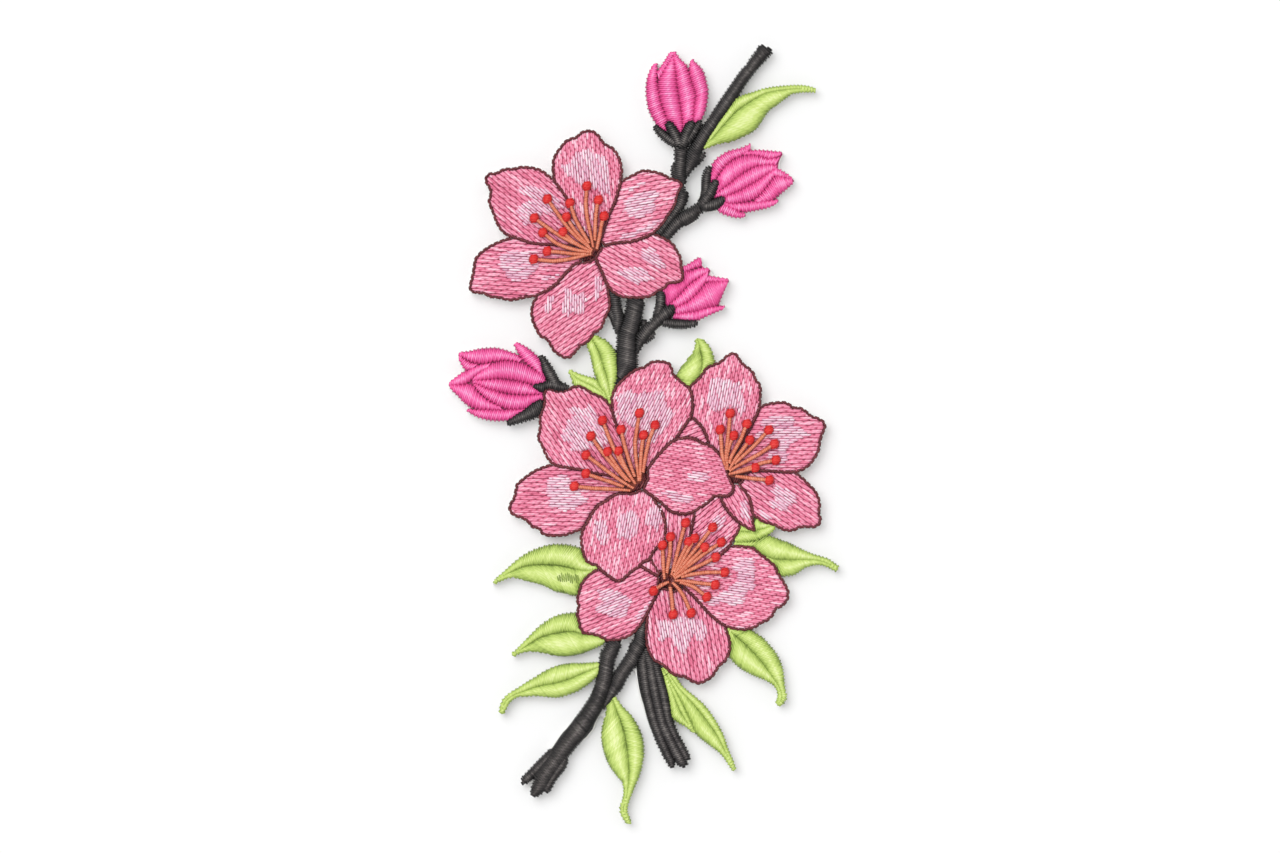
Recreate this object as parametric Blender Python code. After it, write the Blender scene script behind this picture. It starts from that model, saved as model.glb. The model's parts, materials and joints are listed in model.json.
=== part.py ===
"""Cherry blossom sprig worked in thread: four blooms, four buds, leaves and dark twigs on a thin backing sheet.

It lies flat on z = 0 with its face up (+Z) and its long axis along +Y. Sizes are in millimetres until a
body is made, and a body's points are in metres.
"""

import math

import bpy
from mathutils import Vector
from mathutils.geometry import delaunay_2d_cdt

for old in list(bpy.data.objects):
    bpy.data.objects.remove(old)

BACKING_THICK = 1.2  # felt-like sheet under the whole motif
BACKING_RIM = 0.25  # how far the sheet reaches past the stitching
HOLE = 1.5  # gaps in the sheet smaller than this area are closed
SEAT = 1.3  # underside of every stitched pad
GAP = 0.3  # groove between one pad and the next
GRID = 2.2  # spacing of the points that shape a domed top
FILAMENT = 0.9  # width of one stamen's satin column
ANTHER_RX, ANTHER_RY = 1.0, 0.95
STAMEN_SEAT = 2.25
DOME = {"petal": (1.7, 2.15, 2.2), "throat": (1.6, 1.9, 1.2), "leaf": (1.65, 2.3, 1.5), "bud": (1.7, 2.6, 1.4),
        "calyx": (1.8, 2.6, 0.9), "branch": (1.7, 2.5, 1.2)}  # edge height, crest height, reach of the slope
COLOURS = {"backing": (0.93, 0.92, 0.89), "petal": (0.84, 0.24, 0.42), "throat": (0.09, 0.02, 0.025),
           "stamens": (0.72, 0.2, 0.1), "leaf": (0.6, 0.75, 0.25), "bud": (0.95, 0.16, 0.42),
           "calyx": (0.025, 0.025, 0.027), "branch": (0.03, 0.03, 0.032)}

# Outlines are closed loops of (x, y) in millimetres. Bloom A is the upper left flower, B the middle left,
# C the middle right and D the lower right. Each loop lists a piece's edge as it lies in the motif.
PETALS = {
    "b_right": "0.9,-6.9 1.9,-5.6 2.8,-4.4 4.1,-3.0 5.5,-1.6 6.9,-0.9 8.85,-0.6 10.4,-0.9 11.8,-1.75 13.1,-2.1 "
    "14.2,-2.85 15.4,-4.1 16.4,-5.3 16.7,-6.5 16.85,-7.9 17.5,-9.4 18.1,-10.4 17.8,-11.6 16.85,-12.3 15.4,-12.2 "
    "14.1,-12.2 13.6,-13.0 12.5,-13.9 11.3,-14.6 10.3,-15.3 8.85,-15.8 7.15,-15.8 5.5,-15.3 4.0,-13.9 2.5,-12.7 "
    "1.1,-11.7 0.1,-11.1 0.4,-10.0 1.0,-9.0",
    "b_bottom": "-3.5,-11.7 -5.0,-11.8 -6.2,-12.4 -7.4,-13.3 -8.85,-14.1 -10.1,-15.6 -11.0,-17.3 -11.9,-18.7 "
    "-12.4,-20.4 -12.25,-22.1 -11.9,-23.8 -11.3,-25.3 -10.3,-25.9 -9.2,-26.1 -8.6,-26.8 -7.4,-27.8 -6.2,-28.7 "
    "-5.2,-29.3 -4.1,-29.0 -3.3,-28.2 -2.3,-27.3 -1.1,-26.6 -0.1,-25.5 1.3,-24.9 1.7,-23.9 2.3,-23.0 2.9,-22.4 "
    "4.0,-21.9 4.4,-21.0 4.5,-19.0 4.4,-17.5 3.9,-15.8 3.1,-14.4 2.05,-12.9 0.8,-11.8 -0.1,-11.0 -0.9,-11.4 "
    "-2.3,-11.9",
    "b_upper_left": "-19.8,7.9 -19.4,9.0 -18.3,9.1 -17.6,8.7 -16.1,8.6 -14.7,9.1 -13.7,9.6 -12.5,9.6 -11.3,9.0 "
    "-10.1,8.2 -8.6,7.6 -7.6,7.0 -6.7,5.8 -6.1,4.4 -5.5,2.2 -5.0,0.5 -4.2,-1.0 -3.4,-4.0 -2.8,-7.0 -4.0,-8.6 "
    "-7.2,-8.1 -8.6,-7.9 -10.5,-7.5 -12.5,-7.0 -14.4,-6.7 -16.4,-6.4 -17.7,-6.05 -18.8,-5.1 -19.6,-3.6 -20.1,-2.2 "
    "-21.0,-0.7 -20.8,0.0 -20.5,1.5 -20.6,3.4 -20.1,4.9 -19.6,6.3",
    "b_top": "-6.1,5.8 -6.3,7.0 -5.9,8.5 -5.2,9.7 -3.8,11.15 -2.3,12.4 -1.1,13.1 0.4,13.45 1.3,14.3 2.3,14.6 "
    "3.75,14.6 5.2,14.25 5.7,13.3 5.9,12.1 6.7,11.3 7.9,10.3 9.1,9.4 9.7,8.3 9.9,6.4 9.8,4.4 9.4,3.3 8.4,1.9 "
    "7.1,0.0 5.9,-1.2 4.5,-2.7 2.8,-4.4 1.1,-6.5 -0.5,-7.5 -2.5,-7.0 -3.2,-4.5 -4.2,-1.0 -5.0,0.5 -5.5,2.2",
    "b_left": "-17.6,-6.1 -18.8,-6.2 -20.0,-6.6 -21.7,-7.3 -23.15,-8.3 -24.4,-9.3 -25.2,-10.0 -25.45,-11.45 "
    "-25.7,-12.7 -26.5,-13.9 -26.7,-14.85 -26.3,-15.7 -25.3,-16.3 -23.9,-16.7 -22.9,-17.4 -22.1,-18.5 -20.7,-18.7 "
    "-20.1,-19.8 -18.8,-20.2 -17.3,-20.2 -15.6,-20.1 -14.2,-19.6 -13.0,-19.1 -11.9,-18.7 -11.0,-17.3 -10.1,-15.6 "
    "-8.85,-14.1 -7.4,-13.3 -6.2,-12.4 -5.0,-11.8 -3.6,-11.6 -3.2,-9.8 -4.0,-8.8 -7.2,-8.1 -8.6,-7.9 -10.5,-7.5 "
    "-12.5,-7.0 -14.4,-6.7 -16.4,-6.4",
    "c_top": "9.4,9.6 10.1,10.2 11.5,11.5 12.4,12.9 13.0,13.5 14.2,13.9 15.4,14.4 16.2,15.1 16.85,15.8 18.1,16.3 "
    "18.8,15.8 19.4,14.7 20.1,13.9 21.2,13.15 22.1,12.2 22.4,11.0 23.3,10.0 23.5,8.8 23.4,7.3 23.3,5.6 22.9,4.4 "
    "22.2,3.0 21.45,1.5 20.7,0.1 20.0,-1.15 18.8,-3.0 17.0,-5.5 16.2,-5.0 15.4,-4.1 14.2,-2.85 13.2,-2.1 "
    "13.1,-1.4 12.6,0.1 12.0,1.3 11.0,2.5 9.8,3.5 9.9,5.4 9.8,7.3 9.3,8.6",
    "c_left": "9.6,3.4 11.0,2.5 12.0,1.3 12.6,0.1 13.1,-1.4 13.3,-2.3 11.5,-3.0 8.5,-2.0 5.6,-1.4 6.9,0.1 8.4,1.9",
    "c_right": "23.4,5.4 24.6,6.0 26.05,6.3 27.3,6.4 28.4,6.4 29.3,5.9 30.05,5.3 31.4,5.3 32.4,4.7 33.6,3.6 "
    "35.0,3.2 36.1,2.5 36.4,1.5 35.75,0.1 35.3,-1.4 35.1,-3.1 34.4,-4.5 33.3,-6.0 31.9,-7.0 30.4,-7.45 29.2,-7.5 "
    "27.5,-7.4 25.3,-7.25 23.4,-7.2 21.7,-7.3 20.0,-7.8 17.6,-7.8 17.2,-5.6 18.8,-3.0 20.0,-1.15 20.7,0.1 "
    "21.45,1.5 22.2,3.0 22.9,4.4",
    "c_lower_right": "20.0,-9.1 20.0,-7.9 21.7,-7.4 23.4,-7.25 25.3,-7.3 27.5,-7.45 29.7,-7.7 30.7,-7.9 31.9,-8.8 "
    "33.1,-10.0 34.3,-11.2 35.0,-12.5 35.3,-14.0 35.1,-15.7 35.5,-17.1 35.1,-18.1 34.05,-18.5 32.6,-18.4 "
    "31.1,-18.5 30.2,-19.1 28.7,-19.2 27.5,-18.8 26.5,-18.1 25.3,-17.75 23.9,-17.4 22.7,-16.5 21.9,-15.9 "
    "21.7,-14.2 21.3,-12.8 20.5,-11.4 19.5,-10.4 19.2,-9.9",
    "c_small": "17.9,-10.0 17.9,-11.3 17.1,-12.2 15.6,-12.3 16.0,-13.75 17.1,-15.4 18.5,-16.9 20.0,-18.1 "
    "21.2,-18.8 22.4,-19.2 22.1,-18.4 21.8,-16.9 21.8,-15.4 21.6,-13.75 21.1,-12.3 20.2,-11.2 19.15,-10.1",
    "a_top": "-17.7,50.6 -18.0,52.6 -17.9,54.9 -17.2,56.3 -16.1,57.7 -15.5,58.5 -14.5,59.0 -13.3,59.3 -12.4,60.2 "
    "-11.5,60.6 -10.1,60.6 -8.9,59.7 -8.3,58.7 -7.6,57.9 -6.1,57.2 -5.3,56.2 -4.5,54.6 -4.2,52.4 -4.5,50.3 "
    "-5.1,48.2 -5.7,46.2 -6.7,44.2 -7.8,41.2 -8.4,39.0 -10.8,39.0 -12.4,41.5 -14.0,44.5 -15.2,47.2 -16.3,48.8",
    "a_upper_left": "-31.4,51.1 -31.0,51.9 -30.4,52.1 -29.3,52.1 -28.1,52.8 -27.5,53.0 -25.9,53.0 -24.3,53.4 "
    "-22.4,53.3 -20.8,52.9 -19.7,52.3 -18.8,51.5 -17.6,50.5 -16.6,49.4 -15.8,48.1 -15.2,47.2 -14.0,44.5 "
    "-12.5,41.5 -11.3,39.0 -13.0,37.6 -17.8,37.9 -20.1,38.0 -22.2,38.2 -24.0,38.8 -25.6,39.4 -26.7,39.65 "
    "-27.8,40.3 -28.5,41.1 -29.3,42.5 -29.8,44.1 -30.3,45.2 -30.8,46.6 -30.4,47.7 -30.4,48.8 -30.8,49.6 "
    "-31.4,50.5",
    "a_upper_right": "-4.4,50.4 -3.1,51.2 -1.5,52.0 -0.5,52.6 0.7,52.7 2.4,52.4 4.1,51.9 5.3,51.1 6.7,50.8 "
    "7.6,50.3 7.7,49.6 7.1,48.5 6.7,47.4 6.6,46.6 6.1,45.3 5.0,43.8 4.1,42.3 3.0,41.1 2.0,40.25 0.6,39.5 "
    "-0.9,38.95 -2.6,38.5 -4.4,38.4 -6.1,38.2 -7.6,37.7 -8.3,38.6 -7.8,41.2 -6.7,44.2 -5.7,46.2 -5.1,48.2",
    "a_left": "-25.7,39.2 -27.5,38.9 -29.3,38.2 -31.0,37.3 -32.5,36.2 -33.5,35.0 -33.7,33.7 -33.9,32.2 -34.2,31.0 "
    "-34.6,29.4 -34.3,28.6 -33.1,28.3 -31.6,28.2 -30.6,27.5 -29.0,27.4 -27.5,27.0 -26.3,26.8 -24.8,27.1 "
    "-23.1,27.5 -21.5,27.7 -20.2,28.3 -19.0,28.9 -17.2,30.2 -15.8,31.8 -14.9,32.8 -13.7,34.0 -12.5,34.4 "
    "-12.0,36.0 -13.0,37.4 -17.8,37.9 -20.1,38.0 -22.2,38.2 -24.0,38.8",
    "a_right": "-9.4,35.4 -8.3,37.2 -7.6,37.7 -6.1,38.2 -4.4,38.4 -2.6,38.5 -0.9,38.95 0.6,39.5 1.7,40.0 3.0,39.7 "
    "4.3,39.1 5.5,38.4 6.3,37.6 6.7,36.7 7.35,35.7 7.6,34.7 7.6,33.4 8.0,31.9 7.9,31.0 7.3,30.5 6.0,30.3 5.1,30.3 "
    "4.5,29.5 3.9,29.0 2.8,28.5 1.9,27.8 0.9,27.45 -0.7,27.3 -2.4,27.4 -4.1,27.45 -5.1,27.9 -5.9,28.4 -6.7,29.3 "
    "-7.4,30.5 -7.9,31.9 -8.6,33.4 -9.3,34.8",
    "a_bottom": "-12.5,34.4 -13.7,34.0 -14.9,32.8 -15.8,31.8 -17.2,30.2 -19.0,28.9 -20.7,27.8 -21.6,26.9 "
    "-22.1,25.8 -22.3,24.3 -22.0,22.5 -21.3,21.1 -20.6,19.7 -19.1,19.0 -18.5,18.0 -17.8,16.7 -16.6,15.8 "
    "-15.8,15.35 -14.6,15.35 -13.6,16.4 -12.5,17.8 -11.2,18.4 -10.2,19.5 -9.9,20.3 -8.9,20.7 -8.1,21.7 -7.7,23.1 "
    "-7.1,24.3 -6.6,25.5 -6.7,26.8 -7.0,28.7 -7.4,30.5 -8.1,32.5 -8.9,34.4 -9.6,35.2 -10.5,34.6 -11.5,34.2",
    "d_upper_left": "1.6,-24.4 1.7,-23.9 2.3,-23.0 2.9,-22.4 4.2,-21.7 4.5,-19.0 4.4,-17.5 3.9,-15.8 3.2,-14.3 "
    "4.0,-13.9 5.5,-15.3 7.15,-15.8 8.85,-15.8 10.3,-15.3 10.05,-16.9 9.8,-18.3 9.45,-20.0 8.3,-23.0 6.5,-26.0 "
    "5.2,-27.6 4.3,-27.4 3.5,-27.2 2.9,-28.2 1.2,-27.2 -0.5,-26.2 -0.1,-25.5 1.3,-24.9",
    "d_upper_right": "10.3,-15.4 11.6,-14.4 12.8,-13.8 13.4,-13.0 14.2,-12.3 15.5,-12.3 15.9,-13.3 16.7,-14.6 "
    "17.9,-16.1 19.1,-17.3 19.3,-18.3 18.9,-19.5 17.9,-21.0 17.2,-22.4 16.2,-23.4 15.3,-24.1 12.5,-25.6 "
    "9.0,-27.6 6.5,-28.0 6.4,-26.2 8.3,-23.0 9.45,-20.0 9.8,-18.3 10.05,-16.9",
    "d_right": "17.2,-22.4 18.7,-22.3 20.4,-22.4 22.0,-22.6 23.5,-24.0 25.0,-25.1 26.4,-26.3 26.85,-27.7 "
    "28.1,-29.5 29.0,-31.2 28.9,-32.9 27.8,-34.25 26.5,-34.7 25.8,-36.2 24.7,-37.2 23.5,-37.6 22.3,-38.5 "
    "20.1,-39.0 18.3,-38.8 16.4,-38.2 14.9,-37.2 13.1,-35.6 11.5,-33.8 10.0,-32.1 8.9,-31.2 7.6,-29.6 7.4,-28.2 "
    "9.0,-27.6 12.5,-25.6 15.3,-24.1 16.2,-23.4",
    "d_lower_left": "-8.8,-26.8 -9.9,-27.4 -11.4,-28.6 -12.4,-30.1 -12.8,-31.65 -13.2,-33.0 -12.8,-34.1 "
    "-13.2,-35.9 -12.8,-37.2 -12.6,-38.5 -11.9,-39.7 -10.2,-39.8 -8.8,-40.2 -7.1,-41.1 -5.3,-41.05 -3.1,-40.4 "
    "-1.6,-39.3 -0.4,-37.8 0.7,-35.9 1.75,-33.8 2.7,-32.0 3.3,-30.9 3.0,-29.8 3.1,-28.6 2.1,-27.7 0.5,-26.75 "
    "-0.4,-26.3 -1.1,-26.6 -2.3,-27.3 -3.3,-28.2 -4.1,-29.0 -5.2,-29.3 -6.2,-28.7 -7.4,-27.8",
    "d_bottom": "3.3,-30.9 2.7,-32.0 1.75,-34.1 1.0,-36.1 0.7,-37.8 0.6,-39.9 0.8,-42.1 1.3,-43.6 2.2,-45.1 "
    "3.6,-45.7 4.8,-46.65 5.7,-47.7 7.0,-48.2 8.5,-48.4 9.7,-49.25 11.2,-49.75 12.5,-49.2 13.8,-48.4 14.6,-47.1 "
    "15.2,-46.1 16.3,-45.4 16.9,-44.3 17.3,-43.2 17.4,-41.5 17.0,-40.0 16.4,-38.6 15.5,-37.7 14.0,-36.4 "
    "12.6,-35.1 11.2,-33.5 10.0,-32.2 9.0,-31.2 8.0,-30.8 7.0,-31.0 6.1,-31.4 5.2,-31.0 4.2,-30.8",
}
THROATS = {
    "a": "-14.4,37.8 -13.0,38.2 -12.2,38.9 -11.2,39.0 -10.2,38.4 -9.2,39.0 -8.2,38.8 -7.7,37.9 -8.4,37.2 "
    "-9.2,36.0 -9.8,35.2 -10.7,34.5 -11.7,34.2 -12.9,34.4 -12.3,35.4 -12.4,36.6",
    "b": "-3.6,-7.0 -2.6,-6.4 -1.0,-6.2 0.2,-6.2 0.9,-6.6 1.0,-8.0 0.8,-9.4 0.3,-10.6 -0.4,-11.3 -1.5,-11.9 "
    "-2.8,-12.0 -4.0,-11.8 -5.2,-11.5 -4.0,-10.8 -3.4,-9.4 -3.7,-8.2",
    "c": "16.2,-5.3 16.9,-3.8 17.6,-3.2 18.6,-3.4 19.2,-1.8 20.2,-0.9 20.6,-1.6 19.4,-3.4 19.8,-5.2 20.2,-6.4 "
    "19.6,-7.6 20.0,-8.8 19.5,-9.7 18.9,-10.1 17.9,-10.1 17.4,-9.3 16.8,-8.2 16.6,-6.8",
    "d": "2.9,-27.4 3.5,-27.4 4.3,-27.6 5.1,-26.4 5.8,-26.0 6.2,-26.8 7.6,-26.9 7.8,-27.6 7.2,-28.3 8.0,-29.2 "
    "8.8,-30.6 8.3,-31.0 7.2,-30.9 6.3,-31.4 5.4,-30.9 4.2,-30.9 3.3,-30.9 2.9,-29.8",
}
# Each stamen runs from its anther's centre down its filament to the throat.
STAMENS = {
    "a": [
        "-11.2,49.6 -11.45,46.0 -11.2,43.5 -10.7,41.0 -10.2,38.8 -9.9,37.0",
        "-8.9,46.8 -9.3,45.0 -9.5,42.5 -9.6,39.5 -9.6,37.0",
        "-7.8,43.6 -8.3,42.0 -8.6,40.0 -9.0,38.2 -9.3,36.7",
        "-14.6,46.2 -13.6,43.2 -12.4,40.9 -11.0,38.6 -9.9,36.7",
        "-19.1,47.0 -16.7,43.6 -14.8,41.0 -13.1,39.2 -11.2,37.7 -9.9,36.6",
        "-15.3,43.4 -13.8,41.0 -12.3,39.2 -10.8,37.6 -9.9,36.5",
        "-21.7,43.2 -18.5,40.9 -16.3,39.5 -14.0,38.3 -12.0,37.3 -9.9,36.4",
        "-16.0,40.4 -14.2,38.7 -12.5,37.6 -10.0,36.4",
        "-20.0,40.3 -17.4,38.2 -15.5,37.4 -13.3,36.8 -10.0,36.3",
        "-19.1,36.6 -16.2,36.35 -14.0,36.05 -12.0,36.0 -10.0,36.1",
        "-21.8,35.0 -18.0,34.6 -15.3,34.9 -13.0,35.4 -11.2,35.9 -10.0,36.1",
    ],
    "b": [
        "-0.7,4.3 -1.2,1.2 -1.6,-1.5 -1.5,-4.0 -1.2,-6.5 -0.8,-9.6",
        "2.4,1.9 1.3,-0.8 0.7,-3.2 0.25,-5.8 -0.3,-9.6",
        "0.1,-0.1 -0.3,-3.0 -0.5,-6.0 -0.6,-9.6",
        "-4.4,1.0 -3.8,-1.8 -3.0,-4.5 -2.2,-7.0 -1.0,-10.0",
        "-8.1,2.8 -6.9,-0.3 -5.9,-2.7 -4.4,-5.6 -2.8,-8.0 -1.3,-10.2",
        "-10.4,-0.3 -8.4,-3.2 -6.8,-5.2 -5.0,-7.3 -3.2,-9.2 -1.6,-10.5",
        "-4.9,-3.3 -3.7,-6.2 -2.6,-8.2 -1.3,-10.2",
        "-7.1,-3.4 -5.3,-6.2 -3.8,-8.2 -1.6,-10.4",
        "-11.4,-4.1 -8.8,-6.0 -7.0,-7.4 -4.9,-8.9 -3.0,-10.1 -1.6,-10.9",
        "-11.4,-7.8 -8.5,-8.8 -6.3,-9.5 -4.2,-10.3 -2.2,-11.0",
        "-13.7,-10.3 -10.0,-10.75 -7.0,-10.85 -4.5,-11.0 -2.2,-11.2",
    ],
    "c": [
        "15.4,1.0 15.65,-1.8 15.75,-3.8 16.2,-5.6 16.8,-7.4",
        "17.4,4.2 17.1,0.8 16.8,-2.0 16.5,-4.4 16.8,-7.4",
        "18.1,-0.2 17.2,-2.2 16.7,-4.5 16.9,-7.4",
        "20.7,2.1 19.6,-0.8 18.6,-2.6 17.5,-4.6 16.9,-7.4",
        "21.3,-1.1 19.6,-3.4 18.4,-4.9 17.0,-7.4",
        "25.1,0.9 22.5,-1.9 20.6,-3.7 18.7,-5.4 17.0,-7.4",
        "26.2,-1.9 23.0,-4.0 20.8,-5.2 18.6,-6.4 17.0,-7.5",
        "26.5,-5.1 23.6,-5.7 21.5,-6.5 19.4,-7.2 17.1,-7.8",
        "22.4,-6.6 20.2,-7.2 18.4,-7.6 17.1,-7.9",
        "25.2,-9.1 22.0,-8.8 20.0,-8.5 18.4,-8.3 17.1,-8.1",
    ],
    "d": [
        "3.9,-22.1 4.0,-24.5 4.1,-26.8 4.3,-29.2",
        "5.5,-20.4 5.4,-23.5 4.9,-26.5 4.6,-29.0",
        "8.5,-17.6 7.4,-21.5 6.5,-25.0 5.6,-28.4",
        "9.1,-21.4 7.6,-24.4 6.4,-27.0 5.6,-28.6",
        "10.3,-20.7 8.4,-24.2 7.0,-26.8 5.8,-28.6",
        "13.9,-18.5 11.2,-22.0 9.3,-24.3 7.3,-26.8 5.8,-28.6",
        "12.3,-22.5 9.8,-24.9 7.8,-26.9 5.9,-28.7",
        "15.6,-21.5 12.6,-23.5 10.0,-25.5 7.6,-27.4 5.9,-28.8",
        "14.5,-24.5 11.6,-26.0 9.0,-27.2 6.0,-28.9",
        "16.3,-27.5 12.6,-27.5 9.6,-27.9 6.0,-28.9",
        "14.4,-30.0 10.8,-29.6 8.2,-29.2 6.0,-29.1",
        "12.7,-32.4 10.2,-30.4 8.0,-29.6 6.0,-29.3",
        "2.1,-31.2 3.4,-30.2 5.2,-29.4",
        "6.0,-35.9 5.8,-33.2 5.5,-31.0 5.3,-29.4",
        "9.6,-35.6 8.2,-32.4 7.0,-30.6 5.6,-29.3",
    ],
}
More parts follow.
